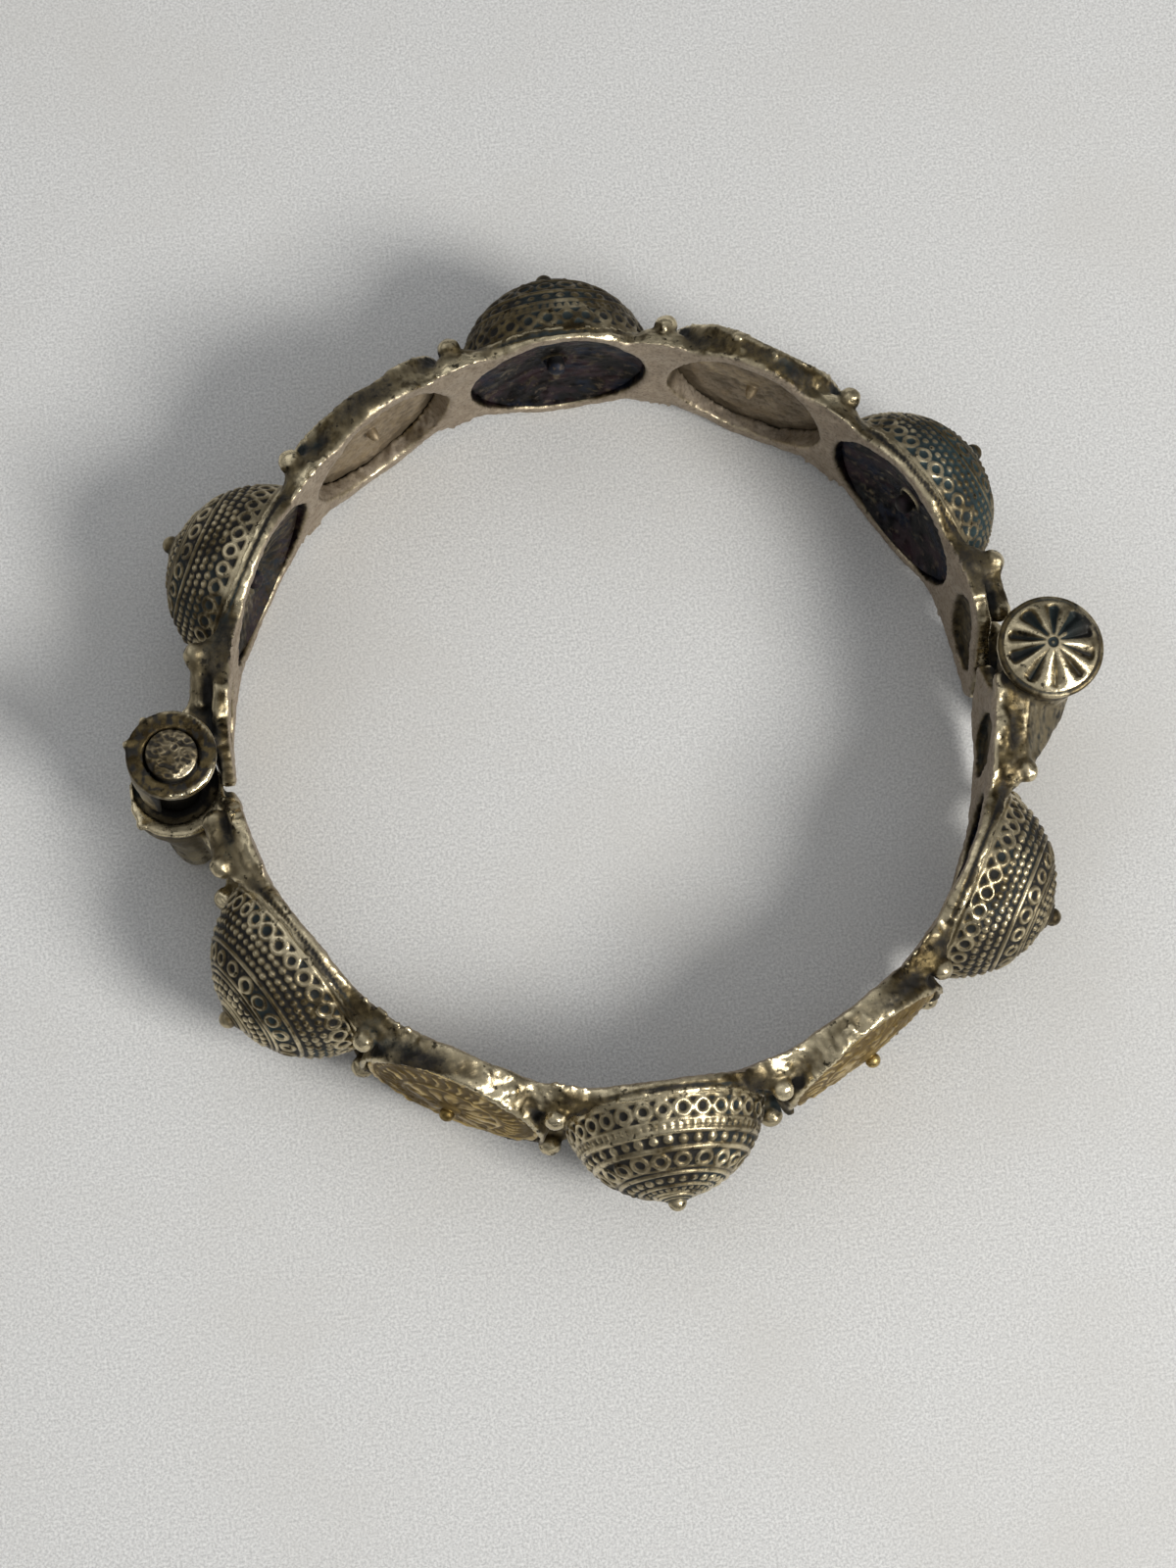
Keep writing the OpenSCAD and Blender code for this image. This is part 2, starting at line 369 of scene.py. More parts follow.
def metal(name, bright, mid, dark, tint=(0.05, 0.09, 0.09), tint_amount=0.5, rough=0.30):
    """Worn metal. cav is 0 in recesses and 1 on proud parts, and it also carries painted shade and painted highlights;
    edge is wear on convex edges, with painted highlights added in places; zone is 1 on the matt wrist side, hollow is 1
    inside a dome, where the near black is painted shade, and tone below 0 is a blue-green patch, above 0 an olive or
    brown one."""
    m, nt, bsdf = nodes_of(name)
    g = Graph(nt)
    cav, edge, zone, hollow, tone = (g.attr(k) for k in ("cav", "edge", "zone", "hollow", "tone"))
    n_big = g.noise(150, 5, 0.6)
    n_mid = g.noise(720, 6, 0.65)
    n_fine = g.noise(3800, 4, 0.6)
    # proud and worn parts, broken up by noise; low cav makes dark patina in recesses and also painted shade
    w = g.math("MULTIPLY_ADD", n_mid, 0.5, cav)
    w = g.math("SUBTRACT", w, 0.25)
    w = g.math("ADD", w, g.math("MULTIPLY", g.math("SUBTRACT", n_big, 0.5), 0.45))
    w = g.math("ADD", w, g.math("MULTIPLY", g.math("SUBTRACT", n_fine, 0.5), 0.30))
    grime_and_shade = g.ramp(w, 0.22, 0.66)
    shine = g.math("MULTIPLY_ADD", g.math("SUBTRACT", n_big, 0.5), 0.9, g.math("SUBTRACT", edge, 0.38))
    shine = g.math("MULTIPLY_ADD", g.math("SUBTRACT", n_mid, 0.5), 0.7, shine)
    shine = g.ramp(shine, 0.10, 0.62)
    col = g.mix(shine, mid, bright)
    col = g.mix(g.ramp(n_mid, 0.42, 0.68, 0.0, 0.6), col, tuple(c * 0.42 for c in mid))
    # olive-brown oxide in broad patches
    worn = g.ramp(g.noise(125, 5, 0.62, 0.3), 0.50, 0.60)
    col = g.mix(g.math("MULTIPLY", worn, 0.6), col, bright)
    oxide = g.math("MULTIPLY", g.ramp(g.noise(110, 5, 0.65, 0.4), 0.46, 0.56), g.ramp(shine, 0.2, 1.0, 0.92, 0.25))
    oxide = g.math("MAXIMUM", oxide, g.math("MULTIPLY", g.math("MAXIMUM", tone, 0.0), g.ramp(shine, 0.2, 1.0, 1.0, 0.35)))
    dull = g.mix(g.ramp(n_mid, 0.40, 0.62), tuple(c * k for c, k in zip(mid, (0.15, 0.13, 0.10))), tuple(c * k for c, k in zip(mid, (0.50, 0.46, 0.36))))
    col = g.mix(oxide, col, dull)
    pits = g.ramp(g.noise(1350, 3, 0.6), 0.60, 0.68)
    col = g.mix(g.math("MULTIPLY", pits, 0.85), col, dark)
    tinted = g.math("MULTIPLY", g.ramp(g.noise(95, 3, 0.5), 0.52, 0.64), tint_amount)
    tinted = g.math("MAXIMUM", tinted, g.math("MULTIPLY", tone, -1.0))
    deep = g.mix(tinted, dark, tint)
    col = g.mix(grime_and_shade, deep, col)
    # wrist side: matt, warm, pinkish
    inner = g.mix(g.ramp(n_mid, 0.3, 0.7), (0.46, 0.385, 0.295), (0.33, 0.265, 0.195))
    inner = g.mix(g.ramp(n_fine, 0.45, 0.72, 0.0, 0.6), inner, (0.13, 0.10, 0.07))
    inner = g.mix(g.math("MULTIPLY", g.ramp(cav, 0.55, 0.1), 0.85), inner, (0.045, 0.036, 0.028))
    col = g.mix(zone, col, inner)
    # inside of a dome: near black painted shade with purple and brown sheen
    hol = g.mix(g.ramp(g.noise(300, 3, 0.6), 0.42, 0.60), (0.004, 0.004, 0.005), (0.040, 0.022, 0.028))
    hol = g.mix(g.ramp(g.noise(420, 3, 0.5), 0.52, 0.66), hol, (0.010, 0.016, 0.034))
    hol = g.mix(g.ramp(g.noise(1500, 3, 0.6), 0.56, 0.70), hol, (0.090, 0.068, 0.050))
    col = g.mix(hollow, col, hol)
    g.put(bsdf.inputs["Base Color"], col)
    met = g.ramp(grime_and_shade, 0.0, 1.0, 0.35, 1.0)
    met = g.math("MULTIPLY", met, g.ramp(zone, 0.0, 1.0, 1.0, 0.62))
    g.put(bsdf.inputs["Metallic"], met)
    r = g.math("SUBTRACT", g.ramp(grime_and_shade, 0.0, 1.0, 0.66, rough + 0.12), g.math("MULTIPLY", shine, 0.14))
    r = g.math("MULTIPLY_ADD", g.math("SUBTRACT", n_fine, 0.5), 0.38, r)
    r = g.math("MULTIPLY_ADD", zone, 0.24, r)
    r = g.math("MULTIPLY_ADD", g.math("SUBTRACT", oxide, worn), 0.10, r, clamp=True)
    g.put(bsdf.inputs["Roughness"], r)
    hgt = g.math("MULTIPLY_ADD", n_fine, 0.6, g.math("MULTIPLY", n_mid, 0.8))
    g.put(bsdf.inputs["Normal"], g.bump(hgt, 0.45, 0.00010))
    return m


SILVER = metal("antique_silver", (0.86, 0.74, 0.49), (0.275, 0.226, 0.138), (0.011, 0.0092, 0.0065), tint=(0.016, 0.036, 0.040))
GOLDEN = metal("coin_metal", (0.78, 0.60, 0.28), (0.42, 0.30, 0.11), (0.13, 0.085, 0.025), tint_amount=0.05)
PIN = metal("pin_end", (0.62, 0.54, 0.38), (0.25, 0.205, 0.13), (0.022, 0.018, 0.012), rough=0.38)


# ---------------------------------------------------------------- frame of a half
def half_grid():
    h = 0.224
    x = np.arange(-39.2, 39.4, h, dtype=F32)
    y = np.arange(-4.6, 34.8, h, dtype=F32)
    z = np.arange(-0.4, 17.0, h, dtype=F32)
    return h, x, y, z


def build_half(seed, which):
    """Signed distances of one cast half without its dome caps, drawn as the back half."""
    h, x, y, z = half_grid()
    rnd = np.random.RandomState(seed)
    xx, yy = x[:, None], y[None, :]
    r2 = np.hypot(xx, yy - SHIFT).astype(F32)
    a2 = (30.6 * np.arctan2(xx, yy - SHIFT)).astype(F32)
    zc = (z - MID_Z).astype(F32)
    # outline of the wall over arc length and height
    at = np.arange(-60, 60.1, 0.1, dtype=F32)
    az, zz = np.meshgrid(at, zc, indexing="ij")
    ph = rnd.uniform(0, 6.28, 12)
    rough_top = sum(0.05 * np.sin(az * k + p) for k, p in zip((0.45, 0.9, 1.7, 2.9, 4.3), ph))
    rough_low = sum(0.07 * np.sin(az * k + p) for k, p in zip((0.5, 1.1, 2.1, 3.3, 5.3, 8.0), ph[5:]))
    rough = np.where(zz > 0, rough_top, rough_low)
    if which == "back":
        rough = rough + np.where(zz < 0, 0.16 * np.exp(-((az - 1) / 6.0) ** 2) * (np.sin(az * 6.1) + np.sin(az * 9.7 + 1)), 0)
    out = np.abs(zz) - (5.55 + 0.25 * smooth(np.abs(az), 36, 41))
    for i, (ua, kind) in enumerate(UNITS):
        rr = 8.05 if kind else 7.75
        out = smin(out, np.hypot(az - 30.6 * math.radians(ua), zz) - rr, 1.1)
    out = (out + rough).astype(F32)
    ia = np.clip(np.round((a2 - at[0]) / 0.1).astype(np.int32), 0, len(at) - 1)
    slab = smax(INNER - r2, r2 - 31.35, 0.3)
    d = smax(out[ia], slab[:, :, None], 0.5).astype(F32)
    d = np.maximum(d, (7.6 - yy)[:, :, None] + 0 * d)
    # end lobes
    yz_y, yz_z = np.meshgrid(y, z, indexing="ij")
    rib = 0.022 * np.sin(yz_z * 9.5 + 1.5 * np.sin(yz_z * 1.3)) * smooth(yz_y, 4.2, 2.2)
    slab = smax(INNER - r2, r2 - 31.45, 0.3)[:, :, None]
    for side, outline in ((-1, LOBE_UP), (1, LOBE_LOW)):
        sel = slice(0, int((-24.5 - x[0]) / h)) if side < 0 else slice(int((24.5 - x[0]) / h), len(x))
        p2 = poly_sdf(yz_y, yz_z, outline) + rib
        lob = smax(p2[None], slab[sel], 0.45)
        d[sel] = smin(d[sel], lob, 0.5)

    def unit_box(ua, q, w0, w1):
        ar = math.radians(ua)
        w2 = xx * math.sin(ar) + (yy - SHIFT) * math.cos(ar)
        u2 = xx * math.cos(ar) - (yy - SHIFT) * math.sin(ar)
        m = (np.abs(u2) < q) & (w2 > w0) & (w2 < w1)
        ii, jj = np.nonzero(m)
        si, sj = slice(ii.min(), ii.max() + 1), slice(jj.min(), jj.max() + 1)
        return si, sj, u2[si, sj][:, :, None].astype(F32), w2[si, sj][:, :, None].astype(F32)

    # dome feet and bezel drums
    for i, (ua, kind) in enumerate(UNITS):
        si, sj, u, w = unit_box(ua, 9.6, 25, 34.4)
        q = np.hypot(u, zc[None, None, :])
        if kind:
            body = smax(q - 8.08, w - 31.2, 0.3)
        else:
            wob = 0.05 * np.sin(3 * np.arctan2(zc[None, None, :], u) + ph[i])
            wob = wob + 0.42 * np.exp(-((u - 0.6) / 3.4) ** 2) * smooth(zc[None, None, :], 3.5, 6.5)
            body = smax(q - 7.85, w - 32.82 + wob + 0.5 * smooth(zc[None, None, :], -0.5, -3.5), 0.35)
            for _ in range(7):
                bu, bw, br = rnd.uniform(-5.2, 5.2), rnd.uniform(30.9, 32.2), rnd.uniform(0.22, 0.42)
                bz = math.sqrt(7.78 ** 2 - bu * bu)
                if which == "back" and ua < 0:
                    continue
                blob = np.sqrt((u - bu) ** 2 + (w - bw) ** 2 + (zc[None, None, :] - bz) ** 2) - br
                body = smin(body, blob, 0.2)
        body = np.maximum(body, 27.0 - w)
        d[si, sj] = smin(d[si, sj], body, 0.35)
    # bead pairs, each a ball sunk in a low cone
    for i, (ua, dist) in enumerate(BEADS):
        for s in (-1, 1):
            si, sj, u, w = unit_box(ua, 3.4, 29.5, 35.5)
            jit = rnd.uniform(-0.08, 0.08, 3)
            zb = zc[None, None, :] - s * 4.95 - jit[0]
            q = np.hypot(u - jit[1], zb)
            bead = np.sqrt(q * q + (w - dist) ** 2) - (0.97 + 0.04 * jit[2] / 0.08)
            side_l = np.hypot((u - jit[1]) * 0.5, zb)
            cone = smax((side_l - (1.45 - 0.80 * (w - 30.8) / (dist - 31.2))) * 0.8, w - dist + 0.4, 0.2)
            cone = np.maximum(cone, 30.2 - w)
            d[si, sj] = smin(smin(d[si, sj], cone, 0.5), bead, 0.16)
    # strap from each end bead to the knuckle
    for side in (-1, 1):
        sel = slice(0, int((-28.0 - x[0]) / h)) if side < 0 else slice(int((28.0 - x[0]) / h), len(x))
        ax_, ay_, az_ = side * 31.9, 8.6, 12.9
        bx_, by_, bz_ = side * 32.1, 4.9, 12.3
        ex, ey, ez = bx_ - ax_, by_ - ay_, bz_ - az_
        px, py, pz = xx[sel][:, :, None] - ax_, yy[:, :, None] - ay_, z[None, None, :] - az_
        t = np.clip((px * ex + py * ey + pz * ez) / (ex * ex + ey * ey + ez * ez), 0, 1)
        cap = np.sqrt(((px - ex * t) * 1.0) ** 2 + (py - ey * t) ** 2 + ((pz - ez * t) * 0.8) ** 2) - (0.62 + 0.36 * t)
        d[sel] = smin(d[sel], cap.astype(F32), 0.6)
    # knuckles with their gussets
    for side in (-1, 1):
        jx = side * JOINT_X
        sel = slice(0, int((-28.0 - x[0]) / h)) if side < 0 else slice(int((28.0 - x[0]) / h), len(x))
        gx, gy = xx[sel], yy
        q = np.hypot(gx - jx, gy)[:, :, None].astype(F32)
        ang = np.arctan2(gy, (gx - jx) * side)[:, :, None]
        zf = z[None, None, :]
        # ang is 0 away from the ring; +90 degrees is towards this half's own middle
        own = np.sin(ang)
        if side < 0:
            z0, z1 = SPLIT_Z + 0.3, TOP_Z
            if which == "back":
                rad = 3.58 - 0.55 * smooth(zf, z1, z0) + 0.02 * np.sin(3 * ang + 1)
            else:
                rad = 3.80 - (0.5 + 0.65 * smooth(np.cos(ang), -0.3, 0.8)) * smooth(zf, z1, z0)
            gz0, gz1 = SPLIT_Z + 0.4, 12.8 if which == "back" else 12.5
        else:
            z0, z1 = 0.03, SPLIT_Z - 0.1
            lip = smooth(own, -0.1, 0.9)
            taper, out_w = smooth(zf, z1, z0), smooth(np.cos(ang), 0.0, 1.0)
            if which == "front":
                # the foot leans towards the middle of this half
                foot = np.exp(-((ang - 1.85) / 0.62) ** 2)
                rad = np.maximum(3.68 + 0.88 * lip * (1 - taper) + taper * (3.1 * foot - 1.6), 2.4)
            else:
                rad = 3.15 - 0.5 * out_w - (0.3 + 0.2 * out_w) * taper
            gz0, gz1 = 0.7, SPLIT_Z - 1.0
        kn = smax(q - rad, np.abs(zf - (z0 + z1) / 2) - (z1 - z0) / 2, 0.22)
        px, py = np.broadcast_arrays(gx * side - INNER, gy)
        gp = poly_sdf(px.astype(F32), py.astype(F32), GUSSET if side > 0 else GUSSET_UP if which == "back" else GUSSET_CLASP)[:, :, None]
        lean = 0.55 * smooth(zf, gz1, gz0) if side > 0 else 0.35 * smooth(zf, gz1, gz0) + 0.25
        gu = smax(gp + lean, np.abs(zf - (gz0 + gz1) / 2) - (gz1 - gz0) / 2, 0.35)
        if side < 0 and which == "front":
            # arm from under the cap down to the end bead
            away = gx * side - INNER - 3.5 + 0.18 * gy
            top = (15.3 - 0.42 * np.clip(gy - 2.5, 0, 10) - 1.35 * np.clip(away, 0, 10))[:, :, None]
            lean = 0.8 * smooth(zf, 15.0, gz0)
            gu = smax(gp + lean, np.maximum(gz0 - zf, (zf - top) * 0.87), 0.35)
        d[sel] = smin(d[sel], smin(kn, gu, 0.35), 0.35)
        if side < 0 and which == "back":
            # open pocket in the wall that faces the other half, under the end disc
            pocket = np.maximum(2.0 - q, zf - 15.2)
            pocket = np.maximum(pocket, own * 3.6 - 0.9)
            pocket = np.maximum(pocket, ((gx - jx) * side)[:, :, None] - 1.3)
            pocket = np.maximum(pocket, q - 3.72)
            d[sel] = smax(d[sel], -pocket, 0.15)
            for pa, pr in ((122, 0.36), (160, 0.44)):
                t = math.radians(pa)
                bx, by = jx + 3.5 * math.cos(t), 3.5 * math.sin(t)
                b = np.sqrt((gx[:, :, None] - bx) ** 2 + (gy[:, :, None] - by) ** 2 + (zf - 15.85) ** 2) - pr
                d[sel] = smin(d[sel], b.astype(F32), 0.1)
        elif side < 0:
            # thin flange under the clasp cap, a little off its centre
            q2 = np.hypot(gx - jx - 0.05, gy + 0.22)[:, :, None]
            d[sel] = smin(d[sel], smax(q2 - 4.12, np.abs(zf - 15.9) - 0.25, 0.15).astype(F32), 0.2)
        else:
            # pip where the lip ends, away from the ring
            t = math.radians(46)
            bx, by = jx + 4.42 * math.cos(t), 4.42 * math.sin(t)
            b = np.sqrt((gx[:, :, None] - bx) ** 2 + (gy[:, :, None] - by) ** 2 + (zf - 7.85) ** 2) - 0.42
            if which == "front":
                d[sel] = smin(d[sel], b.astype(F32), 0.2)
    # wrist side
    d = smax(d, (INNER - r2)[:, :, None], 0.35)
    # hollows and windows
    for i, (ua, kind) in enumerate(UNITS):
        si, sj, u, w = unit_box(ua, 9.6, 20, 34.4)
        q = np.hypot(u, zc[None, None, :])
        an = np.arctan2(zc[None, None, :], u)
        wob = 0.06 * np.sin(2 * an + ph[i]) + 0.05 * np.sin(5 * an + ph[i + 3]) + 0.03 * np.sin(11 * an + ph[i + 6])
        if kind:
            cut = np.where(w > 30.2, np.hypot(q, w - 30.2), q) - 7.2 + wob * smooth(w, 30.6, 29.5)
            k = 0.35
        else:
            cut = np.minimum(q - 6.7 + wob, np.maximum(q - 7.42, 31.35 - w))
            k = 0.25
        d[si, sj] = smax(d[si, sj], -cut, k)
    for side in (-1, 1):
        sel = slice(0, int((-24.5 - x[0]) / h)) if side < 0 else slice(int((24.5 - x[0]) / h), len(x))
        hol = smax(poly_sdf(yz_y, yz_z, HOLLOW_UP if side < 0 else HOLLOW_LOW)[None], (r2[sel] - 30.85)[:, :, None], 0.3)
        d[sel] = smax(d[sel], -hol, 0.3)
        jx = side * JOINT_X
        q = np.hypot(xx[sel] - jx, yy)[:, :, None]
        zf = z[None, None, :]
        if side < 0:
            # the tip of the lobe comes closer to the joint than the rest
            near_ring = smooth((jx - xx[sel]) * side / np.maximum(np.hypot(xx[sel] - jx, yy), 0.1), 0.3, 0.9)[:, :, None]
            cut = np.maximum(q - 4.12 + 0.34 * near_ring, zf - (SPLIT_Z + 0.15))
            if which == "back":
                # the hole is a little wider than the pin on the side away from this half
                bore = np.hypot(xx[sel] - jx, yy + 0.15)[:, :, None] - 2.25 + 0 * zf
            else:
                bore = q - 1.80 + 0 * zf
        else:
            cut = np.maximum(q - 3.85, SPLIT_Z + 0.1 - zf)
            bore = q - 1.80 + 0 * zf if which == "back" else np.minimum(q - 1.96, np.maximum(q - 3.34, 6.7 - zf))
            # the lip is lower on the side away from this half
            own = (yy / np.maximum(np.hypot(xx[sel] - jx, yy), 0.1))[:, :, None]
            low = np.maximum(q - 4.3, SPLIT_Z + 0.15 - 1.5 * smooth(own, 0.15, -0.35) - zf)
            cut = np.minimum(cut, low) if which == "front" else cut
        d[sel] = smax(d[sel], -np.minimum(cut, bore).astype(F32), 0.15)
    d = smax(d, (0.05 - z)[None, None, :], 0.2)
    d = np.maximum(d, (z - 16.36)[None, None, :])
    # pips on the floor of each dome hollow are on the caps
    return d.astype(F32), (x[0], y[0], z[0]), h


# darker places: angle along the half, radius, reach along and across, amount
DARKER_PLACES = {"back": [(-31, 31.6, 5.0, 1.6, 0.55), (30, 31.7, 4.0, 1.2, 0.4), (-40, 31.6, 2.4, 1.0, 0.6), (-22, 31.9, 3.0, 0.8, 0.5), (22, 31.4, 2.6, 1.0, 0.55), (36, 31.2, 3.0, 1.0, 0.6),
                 (-52, 30.9, 1.8, 0.6, 0.5), (52, 30.9, 2.4, 0.6, 0.5), (76, 31.0, 2.6, 1.2, 0.6), (-75, 31.0, 3.0, 1.4, 0.65), (7, 31.2, 1.4, 0.3, 0.6)],
        "front": [(37, 31.9, 3.4, 1.4, 0.85), (44, 31.4, 1.4, 1.6, 0.7), (14, 31.4, 1.4, 1.0, 0.6), (-13, 31.3, 1.6, 1.0, 0.6), (-37, 31.6, 3.2, 1.2, 0.75),
                  (-46, 31.2, 1.8, 1.6, 0.7), (54, 31.1, 2.6, 0.35, 0.6), (70, 31.2, 2.0, 0.6, 0.6), (-70, 31.2, 3.0, 0.5, 0.7), (-56, 31.1, 2.0, 0.3, 0.6),
                  (78, 32.0, 2.0, 1.2, 0.5), (-80, 31.6, 2.2, 0.8, 0.6)]}
# brighter places, worn metal and painted highlights: angle along the half, radius, reach along and across, amount
WEAR_AND_HIGHLIGHT = {"back": [(2, 30.7, 4.5, 0.8, 1.0), (-15, 30.8, 2.4, 0.8, 1.0), (15.5, 30.7, 2.0, 0.7, 1.0), (-62, 30.9, 3.4, 0.8, 1.0),
                   (-45, 30.7, 1.8, 0.5, 0.8), (29, 32.4, 2.6, 0.5, 0.8), (42, 31.5, 1.2, 0.8, 0.8), (60, 30.4, 3.0, 0.4, 0.7)],
          "front": [(24.0, 31.9, 2.2, 1.3, 0.8), (18.5, 30.9, 1.4, 0.6, 0.7), (9, 30.5, 2.4, 0.6, 0.9), (-19.5, 30.6, 2.6, 0.6, 1.0),
                    (-27, 31.6, 1.6, 0.5, 0.9), (-62, 30.6, 2.6, 0.4, 0.8), (-49, 30.7, 1.6, 0.4, 0.8), (61, 30.5, 3.0, 0.4, 0.9),
                    (79, 30.6, 2.2, 0.5, 0.9), (-84, 30.4, 2.6, 0.5, 1.0)]}


def half_piece(name, seed, which):
    d, org, h = build_half(seed, which)
    v, f = surface_nets(d, org, h)
    # cells where two sheets of the surface meet are filled, so that every edge has two faces
    for _ in range(12):
        e = np.sort(np.concatenate([f[:, [k, (k + 1) % f.shape[1]]] for k in range(f.shape[1])]), 1).astype(np.int64)
        key, count = np.unique(e[:, 0] * len(v) + e[:, 1], return_counts=True)
        bad = key[count != 2]
        if len(bad) == 0:
            break
        ids = np.unique(np.concatenate([bad // len(v), bad % len(v)]))
        for i, j, k in np.floor((v[ids] - np.array(org)) / h).astype(int):
            part = d[i:i + 2, j:j + 2, k:k + 2]
            np.minimum(part, -0.03, out=part)
        v, f = surface_nets(d, org, h)
    n = vertex_normals(v, f)
    ao = np.zeros(len(v), F32)
    for t, wgt in ((0.5, 0.3), (1.1, 0.35), (2.2, 0.35)):
        ao += wgt * np.clip(sample(d, org, h, v + n * t) / t, 0, 1)
    lap = v.copy()
    for _ in range(3):
        lap = neighbours_mean(lap, f)
    curv = ((v - lap) * n).sum(1) / h
    for _ in range(2):
        curv = neighbours_mean(curv.astype(F32), f)
    edge = np.clip(0.5 + curv * 1.9, 0, 1)
    r = np.hypot(v[:, 0], v[:, 1] - SHIFT)
    facing = -(n[:, 0] * v[:, 0] + n[:, 1] * (v[:, 1] - SHIFT)) / np.maximum(r, 1)
    zone = smooth(r, 30.7, 30.25) * smooth(facing, 0.35, 0.75)
    hollow = np.zeros(len(v), F32)
    recess = np.zeros(len(v), F32)
    for ua, kind in UNITS:
        ar = math.radians(ua)
        w = v[:, 0] * math.sin(ar) + (v[:, 1] - SHIFT) * math.cos(ar)
        u = v[:, 0] * math.cos(ar) - (v[:, 1] - SHIFT) * math.sin(ar)
        q = np.hypot(u, v[:, 2] - MID_Z)
        inside = smooth(q, 7.45, 7.25) * smooth(r, 30.15, 30.6) * smooth(w, 27, 28)
        if kind:
            hollow = np.maximum(hollow, inside * smooth(w, 31.6, 31.4))
        else:
            recess = np.maximum(recess, smooth(q, 6.9, 6.75) * smooth(r, 30.1, 30.4) * smooth(w, 31.6, 31.3))
    # small unevenness of the casting
    n1, n2 = Waves(seed + 1, 14, 2.2, 7.0), Waves(seed + 2, 18, 0.55, 1.3)
    q_end = np.hypot(np.abs(v[:, 0]) - JOINT_X, v[:, 1])
    keep = smooth(q_end, 2.0, 3.2) * (1 - 0.8 * smooth(v[:, 2], 13, 14) * smooth(q_end, 4.3, 4.0))
    v = v + n * ((0.045 * n1(v) + 0.020 * n2(v)) * keep)[:, None]
    arm = smooth(np.abs(v[:, 0]) - INNER + 0.18 * v[:, 1], 3.2, 3.8) * smooth(v[:, 1], 9.0, 8.2) * (v[:, 0] < 0) * smooth(v[:, 2], 8.2, 8.8)
    arm = arm * smooth(q_end, 3.3, 3.7) * (which == "front") * smooth(n[:, 2], 0.95, 0.85)
    rough = smooth(n[:, 2], 0.3, 0.7) * smooth(r, 30.2, 30.7) * smooth(q_end, 4.4, 5.0) * (1 - arm)
    v = v + n * (rough * (0.055 * Waves(seed + 3, 20, 0.9, 2.4)(v) + 0.03 * Waves(seed + 4, 20, 0.5, 0.9)(v)))[:, None]
    crust = Waves(seed + 7, 30, 0.42, 1.25)(v)
    if which == "back":
        # crusty end face round the hinge pin
        disc = smooth(v[:, 2], 15.6, 15.9) * smooth(q_end, 3.7, 3.4) * (v[:, 0] < 0)
        v[:, 2] += disc * (0.08 * np.abs(crust) - 0.07)
    # angle along the half and arc position
    ang_v = np.degrees(np.arctan2(v[:, 0], v[:, 1] - SHIFT))
    # brighter spots: worn metal and painted highlights
    wear_and_highlight = np.zeros(len(v), F32)
    for pa, pr, sa, sr, amount in WEAR_AND_HIGHLIGHT[which]:
        along = (ang_v - pa) * np.radians(1) * 31
        wear_and_highlight = np.maximum(wear_and_highlight, amount * np.exp(-(along / sa) ** 2 - ((r - pr) / sr) ** 2) * smooth(v[:, 2], 9, 12))
    # darker spots
    darkening = np.zeros(len(v), F32)
    for pa, pr, sa, sr, amount in DARKER_PLACES[which]:
        along = (ang_v - pa) * np.radians(1) * 31
        darkening = np.maximum(darkening, amount * np.exp(-(along / sa) ** 2 - ((r - pr) / sr) ** 2) * smooth(v[:, 2], 9, 12))
    groove = np.zeros(len(v), F32)
    for ua, kind in UNITS:
        if kind:
            ar = math.radians(ua)
            w = v[:, 0] * math.sin(ar) + (v[:, 1] - SHIFT) * math.cos(ar)
            u = v[:, 0] * math.cos(ar) - (v[:, 1] - SHIFT) * math.sin(ar)
            q = np.hypot(u, v[:, 2] - MID_Z)
            groove = np.maximum(groove, np.exp(-((w - 30.72) / 0.17) ** 2) * smooth(q, 7.75, 7.95) * smooth(np.abs(u), 6.5, 4.5))
    v = v - n * (0.11 * groove)[:, None]
    v[:, 2] = np.clip(v[:, 2], 0.03, 16.39)
    v[:, 0] = np.clip(v[:, 0], -38.66, 38.66)
    cav = np.clip(ao * 1.05 - 0.08 + 0.25 * (edge - 0.5), 0, 1)
    cav = cav * (1 - 0.45 * recess)
    lumps = Waves(seed + 5, 10, 6, 16)(v)
    tone = np.clip(0.48 + 0.42 * lumps, -0.25, 1.0)
    if which == "back":
        tone = np.maximum(tone, 0.95 * darkening)
    tone = tone * (1 - wear_and_highlight)
    edge = np.clip(edge + 0.6 * wear_and_highlight, 0, 1)
    cav = np.clip(cav * (1 - 0.8 * darkening * (1 - wear_and_highlight)) + 0.3 * wear_and_highlight, 0, 1) * (1 - 0.85 * groove)
    # painted shade: on the back half, faces that look upward are made a little darker
    if which == "back":
        cav = cav * (1 - 0.14 * smooth(n[:, 2], 0.3, 0.7) * (1 - wear_and_highlight))
    edge = edge * (1 - 0.6 * darkening * (1 - wear_and_highlight)) * (1 - groove)
    cav = cav * (1 - arm) + arm * np.clip(0.52 + 0.10 * crust, 0, 1)
    edge = edge * (1 - 0.8 * arm)
    hinge_side = (v[:, 0] < 0) if which == "back" else (v[:, 0] > 0)
    tone = np.where(hinge_side & (q_end < 4.4), np.maximum(tone, 0.55 + 0.25 * lumps), tone)
